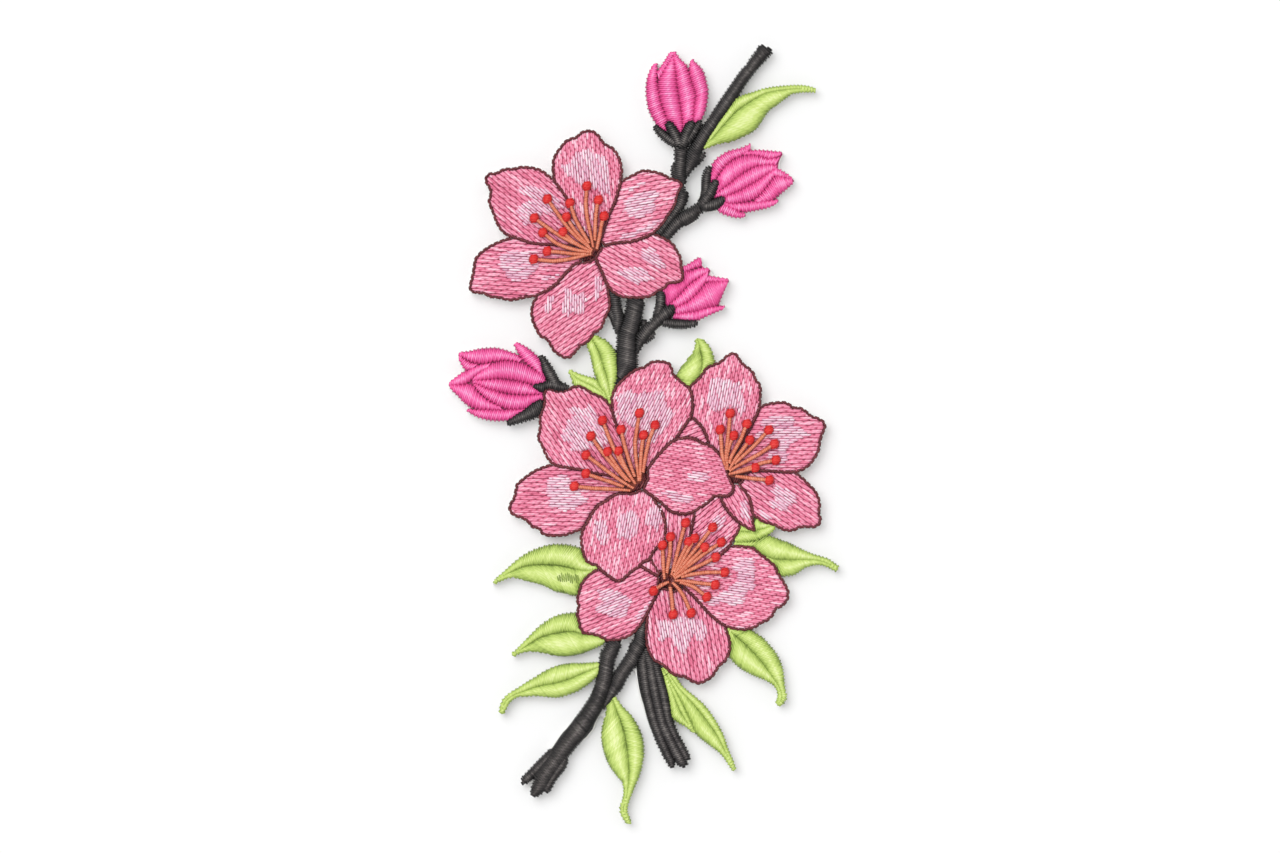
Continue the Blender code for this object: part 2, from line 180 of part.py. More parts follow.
# Each leaf is two satin lobes that meet along its rib: (one edge, rib, other edge), all from the same end.
LEAVES = {
    "leaf_01": ("12.0,57.3 13.0,59.5 14.2,61.5 15.6,63.5 17.0,65.3 18.2,66.7 20.2,67.6 22.0,68.1 24.0,68.8 "
        "26.0,69.15 "
        "28.0,69.35 30.0,69.5 31.5,69.5 33.0,69.3 34.1,69.0",
        "11.8,57.1 13.0,58.3 14.4,59.9 15.7,61.4 17.1,63.0 18.5,64.5 20.2,65.7 22.0,66.9 24.0,68.0 26.0,68.5 "
        "28.0,68.8 30.0,69.0 31.5,69.05 33.0,68.95 34.1,68.8",
        "11.9,56.9 12.8,57.4 14.0,57.9 15.5,58.3 17.0,58.5 18.5,59.0 20.0,59.7 21.5,60.4 22.6,61.3 23.3,62.5 "
        "25.0,64.9 27.4,66.7 29.6,68.3 31.8,68.65 34.1,68.6"),
    "leaf_02": ("10.5,19.1 10.8,18.2 10.4,17.0 10.1,16.2 9.2,15.2 8.3,14.1 7.5,13.0 7.0,11.9 7.2,10.8 8.0,10.0 "
        "9.0,9.4",
        "10.9,19.1 11.3,17.6 11.7,16.2 11.9,14.8 11.9,13.4 11.5,12.2 10.8,11.0 10.0,10.0 9.3,9.3",
        "11.2,19.1 12.0,18.7 12.8,17.9 13.5,16.7 13.9,15.6 14.2,14.4 14.0,13.2 13.0,12.0 11.8,11.0 10.5,10.0 "
        "9.5,9.3"),
    "leaf_03": ("-11.3,18.9 -10.9,17.5 -10.4,16.3 -10.1,15.0 -9.8,13.6 -9.5,12.2 -9.0,11.2 -8.8,10.5 -8.4,9.6 "
        "-7.6,8.6 -7.0,7.4 -6.7,6.2",
        "-10.5,19.6 -9.5,17.8 -8.8,16.5 -8.3,15.0 -7.9,13.6 -7.4,12.2 -7.0,10.8 -6.7,9.4 -6.6,8.0 -6.6,6.3",
        "-10.0,20.0 -9.0,19.4 -7.8,18.9 -6.8,18.0 -6.0,17.0 -5.5,16.2 -5.2,15.0 -5.05,13.5 -5.1,12.0 -5.3,11.0 "
        "-5.7,10.2 -6.1,9.2 -6.3,8.0 -6.4,7.0 -6.5,6.2"),
    "leaf_04": ("-14.7,12.9 -13.8,12.3 -12.6,11.8 -11.3,11.4 -10.1,11.1 -9.2,10.7 -8.6,10.2 -8.1,9.5 -7.4,8.6 "
        "-6.9,7.6 -6.5,6.3",
        "-14.6,12.75 -13.6,11.5 -12.4,10.75 -11.2,10.2 -10.0,9.6 -8.9,8.9 -7.9,8.2 -7.2,7.3 -6.6,6.2",
        "-14.7,12.7 -14.2,11.6 -13.9,10.4 -13.8,9.7 -12.6,9.4 -11.2,9.0 -10.1,8.2 -8.6,7.6 -7.6,7.0 -6.7,6.0"),
    "leaf_05": ("-29.6,-29.2 -28.3,-28.2 -27.0,-27.0 -25.5,-25.6 -24.0,-24.4 -22.5,-23.5 -21.0,-22.9 -19.5,-22.4 "
        "-18.0,-22.15 -16.5,-22.15 -15.0,-22.2 -13.6,-22.5 -12.4,-23.0 -11.4,-24.4 -10.4,-25.4 -9.0,-26.2",
        "-29.8,-29.5 -28.5,-28.6 -27.2,-27.9 -25.5,-27.0 -24.0,-26.4 -22.5,-26.1 -21.0,-26.0 -19.0,-26.0 "
        "-17.0,-26.1 -15.0,-26.5 -13.5,-26.9 -12.0,-27.15 -10.5,-27.2 -9.0,-26.4",
        "-29.8,-29.8 -28.6,-29.1 -27.3,-28.5 -26.0,-28.3 -24.5,-28.7 -23.0,-29.1 -21.5,-29.4 -20.0,-29.8 "
        "-19.0,-30.3 -17.9,-30.9 -16.8,-31.5 -15.6,-31.8 -14.0,-31.9 -12.9,-31.9 -12.2,-30.6 -11.2,-29.0 "
        "-9.4,-27.0"),
    "leaf_06": ("-26.0,-43.8 -25.0,-43.0 -23.8,-41.8 -22.5,-40.4 -21.0,-38.8 -19.8,-37.8 -18.2,-36.8 -17.0,-36.3 "
        "-15.5,-35.95 -14.0,-35.8 -12.8,-35.8 -11.0,-36.8",
        "-26.0,-44.0 -24.5,-43.0 -23.0,-42.0 -21.5,-41.0 -20.0,-40.3 -18.5,-39.9 -17.0,-39.6 -15.5,-39.4 "
        "-14.0,-39.3 -12.2,-39.6 -10.5,-40.0 -9.0,-40.4",
        "-25.9,-44.2 -24.5,-43.4 -23.0,-43.1 -21.5,-43.2 -20.0,-43.4 -18.5,-43.8 -17.0,-44.0 -15.5,-44.0 "
        "-14.0,-43.9 -12.5,-43.5 -11.0,-43.0 -9.6,-42.4 -8.5,-41.9 -7.5,-41.2"),
    "leaf_07": ("-28.5,-55.5 -28.3,-54.3 -27.9,-53.2 -27.1,-52.3 -26.0,-51.5 -24.5,-50.6 -23.0,-49.6 -21.5,-48.7 "
        "-20.0,-47.7 -18.5,-46.9 -17.0,-46.4 -15.5,-46.1 -14.0,-45.95 -12.5,-45.95 -11.0,-45.9 -9.8,-45.8 "
        "-8.4,-45.7",
        "-28.2,-55.7 -27.95,-54.3 -27.4,-53.2 -26.4,-52.3 -25.0,-51.7 -23.5,-51.2 -22.0,-50.6 -20.5,-50.2 "
        "-19.0,-49.9 -17.5,-49.7 -16.0,-49.3 -14.5,-48.8 -13.0,-48.1 -11.5,-47.5 -10.0,-46.9 -8.4,-46.3",
        "-27.95,-55.6 -27.5,-54.5 -26.9,-53.4 -26.0,-52.6 -25.0,-52.1 -23.5,-52.1 -22.0,-51.95 -20.5,-52.0 "
        "-19.0,-52.2 -17.5,-52.3 -16.0,-52.1 -14.5,-51.6 -13.0,-51.0 -11.5,-50.0 -10.3,-49.0 -9.2,-47.9 "
        "-8.4,-47.1"),
    "leaf_08": ("-6.4,-52.4 -6.9,-53.6 -7.1,-54.8 -7.3,-56.0 -7.8,-57.5 -8.1,-59.0 -8.1,-60.5 -7.9,-62.0 "
        "-7.5,-63.5 "
        "-7.0,-65.0 -6.3,-66.3 -5.5,-67.4 -4.7,-68.4 -3.9,-69.2 -3.6,-70.5 -3.6,-71.8 -3.9,-73.2 -4.4,-74.3 "
        "-4.3,-75.5 -3.8,-76.5 -3.1,-77.6",
        "-6.1,-52.4 -5.7,-53.8 -5.1,-55.5 -4.5,-57.0 -4.0,-58.5 -3.6,-60.0 -3.3,-61.5 -3.1,-63.0 -2.9,-64.5 "
        "-2.8,-66.0 -2.75,-67.5 -2.8,-69.0 -3.0,-70.5 -3.15,-72.0 -3.55,-73.3 -3.9,-74.4 -3.85,-75.5 -3.4,-76.5 "
        "-2.9,-77.6",
        "-5.8,-52.3 -5.2,-53.2 -4.5,-54.2 -3.6,-55.1 -2.7,-56.0 -1.9,-57.1 -1.2,-58.3 -0.6,-59.6 -0.2,-61.0 "
        "-0.05,-62.5 -0.05,-64.0 -0.3,-65.5 -0.6,-67.0 -1.1,-68.5 -1.7,-69.8 -2.3,-71.2 -2.8,-72.5 -3.2,-73.6 "
        "-3.4,-74.6 -3.4,-75.6 -3.0,-76.4 -2.6,-77.5"),
    "leaf_10": ("4.4,-46.3 5.2,-47.0 6.2,-48.2 7.0,-49.5 7.8,-50.6 9.0,-51.6 10.3,-52.6 11.8,-53.9 12.9,-55.2 "
        "14.0,-56.8 14.9,-58.3 15.7,-59.8 16.2,-61.2 16.6,-62.6 17.2,-64.0 17.8,-65.4 18.3,-66.8",
        "4.2,-46.4 5.1,-47.6 6.1,-49.1 7.1,-50.6 8.2,-51.8 9.4,-53.0 10.6,-54.4 11.8,-55.8 13.0,-57.4 14.1,-58.9 "
        "15.0,-60.4 15.8,-62.0 16.6,-63.6 17.4,-65.1 18.2,-66.9",
        "4.0,-46.5 5.0,-48.2 5.9,-49.8 6.8,-51.4 7.7,-53.0 8.4,-54.5 9.1,-56.0 9.8,-57.6 10.5,-59.3 11.3,-60.2 "
        "12.6,-61.2 14.0,-62.2 15.2,-63.1 16.2,-64.1 17.0,-65.3 17.7,-66.4 18.1,-67.0"),
    "leaf_09": ("3.2,-46.0 3.8,-47.5 4.3,-49.0 4.7,-50.6 5.0,-52.2 5.1,-53.8 5.4,-55.2 5.8,-56.3 6.4,-56.8 "
        "7.4,-57.5 8.4,-57.9 9.2,-58.5 10.1,-59.5",
        "3.5,-46.1 4.3,-47.8 5.1,-49.5 5.8,-51.2 6.5,-53.0 7.2,-54.7 8.0,-56.2 8.9,-57.7 10.1,-59.4",
        "3.7,-46.2 4.7,-47.8 5.6,-49.4 6.5,-51.0 7.4,-52.6 8.1,-54.1 8.7,-55.6 9.3,-57.1 9.9,-58.4 10.3,-59.4"),
    "leaf_11": ("17.0,-38.4 19.0,-38.9 20.5,-39.0 21.3,-39.1 22.5,-39.9 23.8,-40.7 24.8,-41.8 25.8,-43.0 "
        "26.7,-44.2 27.3,-45.6 27.7,-47.0 27.9,-48.6 28.0,-50.0 28.2,-51.3 28.5,-52.2 28.3,-53.1 27.7,-53.8 "
        "27.0,-53.95",
        "16.4,-38.3 17.5,-39.3 18.7,-40.4 20.0,-41.5 21.2,-42.6 22.3,-43.8 23.3,-44.9 24.2,-46.1 25.1,-47.3 "
        "26.0,-48.5 26.8,-49.7 27.5,-51.0 27.8,-52.3 27.6,-53.2 26.9,-53.8",
        "16.4,-38.7 17.2,-40.0 17.4,-41.5 17.4,-43.0 17.3,-44.1 18.1,-45.2 19.2,-46.2 20.4,-47.0 21.8,-47.7 "
        "23.2,-48.3 24.4,-48.7 25.3,-49.2 26.2,-49.8 26.9,-50.7 27.2,-52.0 27.1,-52.9 26.8,-53.6"),
    "leaf_13": ("19.0,-17.4 20.4,-16.8 22.0,-16.2 24.0,-17.2 25.6,-17.8 26.4,-18.1",
        "18.7,-19.3 20.4,-19.35 22.2,-19.2 24.0,-18.8 25.2,-18.4 26.4,-18.2",
        "18.2,-21.3 19.5,-21.4 21.0,-21.3 22.5,-21.1 23.8,-20.5 24.8,-19.9 25.7,-19.2 26.4,-18.3"),
    "leaf_12": ("18.0,-21.3 19.5,-21.0 21.5,-20.8 23.5,-20.5 25.1,-20.4 26.5,-20.9 28.0,-21.5 29.5,-22.1 "
        "31.0,-22.9 32.5,-23.6 34.0,-24.2 35.5,-24.6 36.8,-25.0 37.8,-25.7 38.9,-26.5",
        "18.3,-21.8 20.5,-22.3 23.0,-23.6 25.5,-24.8 27.0,-24.95 28.5,-25.0 30.0,-25.0 31.5,-25.0 33.0,-25.0 "
        "34.5,-25.05 36.0,-25.35 37.2,-25.9 38.8,-26.8",
        "18.3,-22.3 20.5,-23.3 23.6,-25.3 26.0,-26.8 26.9,-27.7 27.8,-28.2 29.0,-28.05 30.2,-27.8 31.2,-27.1 "
        "32.3,-26.3 33.8,-25.85 35.0,-25.7 36.2,-25.9 37.2,-26.35 38.6,-27.15"),
}
BUDS = {
    "bud_top": "5.6,76.4 6.2,76.5 6.7,75.8 7.3,74.9 8.0,74.3 8.6,73.8 8.9,73.1 9.25,72.2 9.4,73.6 9.5,74.4 "
        "9.9,74.8 "
    "10.4,74.2 11.0,73.7 11.6,73.1 12.1,72.3 12.4,71.3 12.6,70.2 12.9,69.2 12.9,68.0 12.8,66.8 12.6,65.7 12.4,64.7 "
    "12.0,63.8 11.6,63.0 11.0,62.2 10.2,61.2 9.2,60.4 8.2,59.9 7.2,59.9 6.0,60.0 4.8,60.3 4.2,60.8 3.4,61.3 "
    "2.8,62.0 2.2,62.8 1.6,63.9 1.1,65.1 0.9,66.4 0.7,67.8 0.7,69.2 0.8,70.5 1.1,71.7 1.5,72.7 1.9,73.5 2.3,74.0 "
    "2.7,74.0 2.7,73.0 2.85,72.3 3.2,72.8 3.7,73.4 4.2,74.2 4.8,75.1 5.2,75.8",
    "bud_right": "13.4,50.0 13.4,51.2 13.4,52.3 13.5,53.2 13.9,54.0 14.4,54.7 14.9,55.2 15.7,55.7 16.4,56.2 "
    "17.3,56.6 18.3,56.8 19.2,57.0 20.0,57.2 20.7,57.6 21.5,57.95 21.4,57.2 21.1,56.5 22.2,56.65 23.4,56.7 "
    "24.6,56.6 25.8,56.5 26.9,56.35 27.6,56.4 27.9,56.0 27.6,55.5 27.2,54.7 27.0,53.9 26.95,53.0 27.7,52.6 "
    "28.5,52.1 29.2,51.6 29.9,51.1 30.2,50.6 29.7,50.2 29.1,49.6 28.4,48.9 27.6,48.3 26.8,47.5 26.0,47.0 "
    "25.7,46.7 26.4,46.8 27.1,46.8 27.0,46.4 26.2,46.0 25.2,45.5 24.2,45.2 23.0,45.0 21.8,44.7 20.5,44.5 "
    "19.3,44.5 18.7,44.6 19.5,44.3 20.3,44.0 20.6,43.6 20.0,43.4 19.0,43.4 18.0,43.5 17.0,43.8 16.0,44.1 "
    "15.2,44.6 14.4,45.1 14.0,46.5 13.6,48.2",
    "bud_mid": "7.0,33.0 7.9,33.3 8.7,33.7 9.6,34.2 10.4,34.8 11.1,35.3 11.6,35.2 11.6,34.2 11.7,33.4 12.4,33.1 "
    "13.2,33.1 13.5,32.7 13.2,32.2 13.0,31.6 13.9,31.5 14.8,31.3 15.8,31.1 16.7,31.1 17.2,30.6 16.8,30.0 16.3,29.2 "
    "15.9,28.2 15.5,27.2 15.1,26.2 15.0,25.7 15.8,25.8 16.4,25.4 15.7,25.0 14.8,24.7 13.8,24.2 12.8,23.8 11.8,23.3 "
    "10.8,22.8 10.0,22.6 9.0,22.6 8.0,22.8 7.0,22.9 6.2,23.0 5.4,23.6 4.8,24.8 4.5,26.3 4.3,27.4 4.0,28.4 4.2,29.2 "
    "5.0,30.6 6.0,32.2",
    "bud_left": "-19.3,10.4 -19.6,11.4 -20.0,12.4 -20.1,13.6 -20.4,14.6 -21.0,15.4 -21.7,16.1 -22.4,16.7 "
    "-23.2,17.3 -24.2,17.8 -25.3,18.4 -25.6,17.9 -25.2,17.0 -24.8,16.2 -24.5,15.5 -25.2,15.9 -26.0,16.2 "
    "-26.8,16.5 -28.0,16.9 -29.2,17.2 -30.5,17.2 -32.0,17.1 -33.3,16.9 -34.5,16.5 -35.8,16.4 -36.8,16.3 "
    "-36.9,15.8 -36.6,15.0 -36.2,14.2 -35.8,13.4 -35.3,12.7 -36.2,12.2 -37.2,11.4 -38.2,10.7 -38.8,10.1 -38.6,9.5 "
    "-38.0,8.8 -37.2,8.1 -36.5,7.3 -35.9,6.6 -35.2,6.0 -34.4,5.5 -33.7,5.1 -34.6,5.2 -35.1,4.9 -34.6,4.4 "
    "-33.7,3.9 -32.7,3.4 -31.5,3.1 -30.2,2.9 -28.8,2.8 -27.5,2.9 -26.3,3.2 -25.3,3.7 -24.4,4.2 -22.8,4.6 "
    "-21.0,6.0 -19.6,7.0 -19.6,8.3 -19.6,9.4",
}
CALYXES = {
    "calyx_top": "2.25,61.4 2.6,61.6 3.2,61.2 4.0,60.8 4.7,60.3 5.1,60.1 4.8,61.2 4.7,62.0 5.2,62.4 5.6,62.2 "
    "6.2,61.5 6.8,60.7 7.4,60.0 7.7,59.9 8.0,60.6 8.5,61.6 9.2,62.2 9.9,62.5 10.1,62.0 10.2,61.6 11.0,62.4 "
    "11.5,62.6 11.6,62.1 11.2,61.4 10.8,60.6 10.3,59.7 9.8,58.9 9.2,58.3 8.6,57.8 8.5,57.4 6.6,57.4 6.2,57.7 "
    "5.4,58.0 4.6,58.5 3.9,59.2 3.2,59.9 2.7,60.6",
    "calyx_right": "11.2,46.2 11.1,46.9 11.4,47.6 11.9,48.4 11.9,49.2 11.8,50.2 11.9,51.2 12.2,52.2 12.7,53.0 "
    "13.2,53.4 13.6,53.3 13.4,52.4 13.3,51.3 13.4,50.2 13.7,50.0 14.1,50.5 14.6,50.7 14.85,50.3 14.6,49.4 "
    "14.4,48.5 14.1,47.6 14.0,47.2 14.8,47.2 15.6,47.3 16.2,47.2 16.1,46.6 15.7,46.0 15.1,45.4 14.5,44.9 "
    "13.8,44.6 13.0,44.6 12.2,44.8 11.6,45.2",
    "calyx_mid": "-1.1,20.0 -0.6,20.5 -0.3,21.2 -0.3,22.2 0.0,22.7 0.5,22.7 0.9,22.1 1.5,22.5 2.0,23.2 2.4,24.2 "
    "2.7,25.3 2.9,26.5 2.9,27.6 3.1,28.4 3.9,28.4 4.0,28.2 4.3,27.3 4.4,26.2 4.6,25.4 5.3,25.5 5.9,25.6 6.2,25.2 "
    "5.9,24.0 5.6,23.1 6.2,23.0 7.2,22.8 8.2,22.6 9.3,22.5 10.4,22.5 10.9,22.2 10.5,21.9 9.5,21.7 8.2,21.4 "
    "6.8,21.4 5.5,21.6 4.6,21.9 3.8,21.8 3.0,21.5 2.2,21.0 1.7,20.3 2.4,20.3 2.0,19.6 1.5,18.9 0.7,18.5 "
    "0.1,18.5 -0.3,18.0 -0.8,17.1 -1.2,16.3",
    "calyx_left": "-20.6,15.5 -20.3,15.7 -19.9,15.4 -19.3,14.6 -18.6,13.6 -17.9,12.6 -17.5,11.8 -17.0,10.9 "
    "-16.6,10.2 -15.6,9.9 -14.9,9.4 -16.1,8.6 -18.3,8.9 -19.8,8.2 -20.6,8.9 -21.4,9.4 -21.9,9.65 -21.0,9.9 "
    "-20.0,10.1 -19.2,10.4 -19.5,11.3 -19.9,12.3 -20.0,13.4 -20.2,14.5",
    "sepal_left": "-19.6,7.1 -21.0,6.6 -22.0,6.1 -22.8,5.4 -23.6,4.7 -24.4,4.2 -25.3,3.7 -26.1,3.1 -27.0,2.5 "
    "-26.9,2.1 -26.2,2.2 -25.2,2.5 -24.2,2.7 -23.2,3.0 -22.2,3.3 -21.3,3.7 -20.2,4.2",
}
BRANCHES = {
    "branch_stalk": "6.6,57.6 6.55,56.0 6.6,54.4 6.2,53.9 5.95,53.2 5.95,52.2 6.1,51.3 7.0,50.5 7.0,48.5 6.2,46.5 "
    "5.2,44.4 4.0,42.6 3.0,41.2 2.3,40.3 3.6,39.9 4.6,41.5 5.6,42.7 6.5,43.6 7.1,44.5 7.6,45.1 8.1,45.8 8.5,46.6 "
    "8.75,47.4 8.85,48.2 8.35,48.3 8.0,48.5 8.2,49.4 8.3,51.0 8.3,53.0 8.35,55.0 8.5,56.3 8.6,57.4",
    "branch_upper": "22.9,76.6 22.0,75.5 21.3,74.4 20.9,73.6 20.0,72.8 19.1,71.6 18.2,70.3 17.3,69.0 16.5,67.8 "
    "15.8,66.8 15.0,65.6 14.2,64.4 13.4,63.1 12.5,61.9 11.6,60.7 10.8,59.4 10.0,58.1 9.2,57.0 8.6,56.2 8.3,55.0 "
    "8.2,53.0 8.3,50.8 8.8,51.8 9.2,52.5 9.8,53.1 10.3,53.7 10.9,54.2 11.6,54.8 12.1,55.5 12.3,56.2 11.4,56.1 "
    "11.6,56.8 12.0,57.5 12.6,58.6 13.3,59.8 14.1,61.0 14.9,62.3 15.8,63.5 16.7,64.7 17.6,66.0 18.4,67.2 "
    "19.3,68.6 20.2,70.0 21.2,71.4 22.3,72.8 23.3,74.0 24.3,74.9 24.8,75.5 25.3,75.9 25.6,76.5 25.2,77.0 "
    "24.6,77.2 23.9,77.5 23.3,77.3",
    "branch_right": "11.2,46.2 10.3,45.6 9.6,45.1 8.9,44.8 8.0,44.5 7.3,44.0 6.7,43.7 6.2,43.2 5.3,42.2 4.4,41.2 "
    "3.8,40.4 3.2,39.7 4.2,38.8 5.1,38.6 5.2,39.2 5.7,39.9 6.3,40.5 7.0,41.2 7.8,41.9 8.5,42.0 9.3,42.1 10.0,42.4 "
    "10.6,43.0 10.9,43.6 11.0,44.1 11.6,44.5 12.2,44.8 11.7,45.3",
    "branch_main": "-2.9,27.8 0.1,27.8 0.1,26.4 -0.2,25.2 -0.45,23.9 -0.6,22.5 -0.9,21.2 -1.0,20.2 -1.1,18.2 "
    "-1.2,16.3 -1.4,15.6 -1.35,14.2 -1.3,12.6 -3.4,10.8 -5.2,9.2 -5.6,10.2 -5.2,11.0 -5.0,12.5 -5.1,14.0 "
    "-5.1,16.0 -4.95,18.0 -4.9,20.0 -4.5,21.0 -3.9,22.6 -3.6,23.4 -3.2,25.0",
    "branch_twig": "-6.9,29.6 -5.8,29.0 -5.3,28.0 -4.9,27.8 -4.75,27.0 -4.7,26.0 -4.5,25.0 -4.2,24.0 -3.95,23.0 "
    "-4.2,22.0 -4.6,21.0 -5.0,20.0 -5.3,20.6 -5.7,21.6 -6.1,22.4 -6.6,23.3 -7.0,24.1 -6.9,24.9 -6.5,24.9 "
    "-6.3,25.6 -6.4,26.5 -6.45,27.5 -6.6,28.4",
    "branch_leg": "-6.8,-40.4 -7.0,-41.3 -7.3,-42.3 -8.1,-43.3 -8.4,-44.6 -8.5,-46.0 -8.7,-47.4 -9.0,-48.8 "
    "-9.3,-50.2 -9.8,-51.5 -10.5,-52.8 -11.3,-54.0 -12.1,-55.2 -13.0,-56.4 -14.0,-57.5 -15.0,-58.5 -16.0,-59.5 "
    "-16.8,-60.6 -17.6,-61.8 -18.4,-63.0 -19.2,-63.8 -20.1,-64.7 -21.0,-65.6 -22.0,-66.7 -23.0,-67.7 -24.1,-68.8 "
    "-24.0,-69.6 -23.1,-69.3 -22.3,-68.8 -21.5,-68.5 -21.6,-69.6 -22.0,-70.6 -22.2,-71.9 -21.8,-72.2 -21.0,-71.9 "
    "-20.3,-71.4 -19.7,-70.8 -19.4,-71.3 -18.9,-71.2 -18.4,-70.3 -17.9,-69.3 -17.2,-68.3 -16.5,-67.5 -16.0,-67.0 "
    "-15.5,-66.0 -15.2,-65.0 -15.4,-64.4 -14.8,-63.8 -14.0,-62.8 -13.2,-61.8 -12.2,-61.0 -11.4,-60.5 -10.8,-59.7 "
    "-10.1,-58.9 -9.7,-57.8 -9.3,-56.8 -8.9,-56.0 -8.5,-55.3 -8.1,-54.2 -7.5,-52.4 -7.0,-50.8 -6.4,-49.2 "
    "-6.3,-48.0 -6.3,-47.0 -6.1,-46.0 -5.9,-45.0 -5.5,-44.0 -5.1,-43.0 -4.6,-42.0 -4.1,-40.6",
    "branch_middle": "-0.3,-37.6 -1.0,-38.7 -1.4,-39.5 -1.3,-40.5 -1.9,-41.3 -2.4,-42.1 -2.6,-43.0 -3.0,-43.8 "
    "-3.6,-44.8 -4.3,-45.9 -5.0,-46.9 -5.6,-47.8 -6.1,-48.6 -6.4,-49.2 -7.0,-50.8 -7.5,-52.4 -8.1,-54.2 "
    "-8.2,-54.9 -7.3,-53.9 -6.6,-53.1 -5.9,-52.2 -5.3,-51.5 -4.6,-50.8 -4.1,-49.9 -3.7,-49.0 -3.1,-48.0 "
    "-2.5,-47.1 -1.8,-46.2 -1.3,-45.9 -1.1,-45.0 -0.4,-43.8 0.3,-42.5 0.9,-41.4 1.0,-39.0 0.6,-36.8",
    "branch_bundle": "0.6,-42.0 0.3,-42.5 -0.4,-43.8 -1.1,-45.0 -1.3,-46.5 -1.2,-48.0 -0.9,-50.0 -0.6,-51.5 "
    "-0.2,-53.0 0.3,-54.5 0.7,-56.0 1.3,-57.5 1.9,-58.8 2.5,-60.3 3.1,-61.7 3.8,-63.0 4.3,-64.2 5.0,-65.3 "
    "5.6,-66.3 6.0,-66.4 6.0,-65.5 6.3,-64.6 6.8,-65.3 7.5,-66.1 8.1,-66.2 8.8,-65.7 8.6,-65.0 9.2,-64.6 "
    "8.7,-63.5 8.1,-62.3 7.4,-61.0 6.7,-59.8 6.2,-58.6 5.8,-57.4 5.5,-56.0 5.3,-54.4 5.1,-53.0 4.8,-51.5 "
    "4.4,-50.0 4.0,-48.5 3.5,-47.0 2.9,-45.4 2.0,-44.4 1.4,-43.0",
}
# Valleys where one satin column meets the next.
CREASES = {
    "bud_top": ["2.85,72.3 2.75,71.0 2.9,69.6 3.2,68.0 3.6,66.2 4.2,64.4 4.9,62.6",
        "3.1,70.9 4.4,73.0 5.9,75.2", "6.2,74.6 6.5,72.0 6.9,69.6 7.2,67.2 7.6,64.8 8.0,62.4",
        "9.25,72.2 9.6,70.8 10.1,69.3 10.6,67.6 10.35,65.8 10.2,64.0 10.1,62.2"],
    "bud_right": ["15.2,51.4 16.2,53.3 17.6,54.7 19.4,55.6 21.1,56.3", "21.4,55.9 23.2,55.7 25.0,55.0 27.4,56.0",
        "15.5,49.0 17.5,50.3 20.0,52.2 22.5,53.6 24.8,54.0 26.7,53.6",
        "16.4,47.6 18.2,48.3 20.5,49.4 23.0,50.9 25.0,52.2 26.6,53.2",
        "16.4,46.3 18.2,46.1 20.4,46.3 22.2,46.7 23.7,48.0 24.9,49.7 26.0,51.5 26.7,52.6",
        "22.4,46.5 24.0,46.5 25.5,46.7", "18.7,44.7 17.6,45.3 16.4,46.1"],
    "bud_mid": ["8.2,32.4 9.8,32.9 11.5,33.3", "5.0,26.0 7.2,28.0 9.4,30.2 11.4,31.6 13.0,32.5",
        "6.4,25.2 9.0,26.6 11.0,28.3 12.2,30.0 12.8,31.4", "6.4,24.0 9.0,24.3 12.0,24.9 14.8,25.6"],
    "bud_left": ["-24.5,15.4 -23.2,14.2 -21.8,13.2 -20.3,12.2", "-35.9,15.4 -34.8,14.6 -33.2,14.0 -31.0,14.3 "
        "-28.5,14.9 -26.0,14.8 -24.3,14.4", "-33.8,10.8 -31.0,11.0 -28.0,11.1 -25.5,10.8 -23.0,10.2 -21.0,9.9",
        "-37.6,10.0 -36.0,10.0 -34.6,10.4 -33.2,11.9 -31.4,13.2", "-33.7,10.3 -31.5,9.4 -29.0,8.6 -26.5,8.0 "
        "-23.5,8.0 -20.6,8.1", "-33.6,9.9 -32.5,8.2 -31.0,7.0 -29.2,5.9 -27.4,5.2 -25.2,5.0 -23.4,5.2",
        "-33.3,5.1 -31.5,5.0 -29.0,5.0"],
    "branch_upper": ["23.0,75.2 24.2,76.4"],
    "branch_leg": ["-21.2,-67.8 -19.6,-66.0 -18.2,-64.4", "-19.3,-69.8 -18.2,-67.6 -17.0,-66.0"],
    "branch_bundle": ["1.0,-44.6 1.5,-48.0 2.4,-52.0 3.6,-56.0 4.9,-60.0 6.1,-63.4",
        "2.4,-46.4 3.2,-50.0 4.0,-54.0 4.9,-57.6 6.4,-61.0"],
}


def loop(text):
    """The (x, y) points of a listed line."""
    return [tuple(float(number) for number in pair.split(",")) for pair in text.split()]


def wound(points):
    """The closed loop, counterclockwise."""
    turn = sum(points[i - 1][0] * p[1] - p[0] * points[i - 1][1] for i, p in enumerate(points))
    return points if turn > 0 else points[::-1]


def spread(points, by):
    """The counterclockwise loop with its edge moved outwards."""
    moved = []
    for i, (x, y) in enumerate(points):
        before, after = points[i - 1], points[(i + 1) % len(points)]
        ax, ay = x - before[0], y - before[1]
        bx, by_ = after[0] - x, after[1] - y
        a, b = math.hypot(ax, ay) or 1.0, math.hypot(bx, by_) or 1.0
        nx, ny = ay / a + by_ / b, -(ax / a + bx / b)
        n = math.hypot(nx, ny) or 1.0
        nx, ny = nx / n, ny / n
        reach = by / max(0.5, (nx * ay - ny * ax) / a)
        moved.append((x + nx * reach, y + ny * reach))
    return moved


def to_line(x, y, a, b):
    """Distance from a point to the segment a-b."""
    dx, dy = b[0] - a[0], b[1] - a[1]
    t = ((x - a[0]) * dx + (y - a[1]) * dy) / (dx * dx + dy * dy or 1.0)
    t = min(1.0, max(0.0, t))
    return math.hypot(x - a[0] - t * dx, y - a[1] - t * dy)


def sides(points):
    return [(points[i - 1], p) for i, p in enumerate(points)]


def boxed(points):
    xs, ys = [p[0] for p in points], [p[1] for p in points]
    return min(xs), min(ys), max(xs), max(ys)


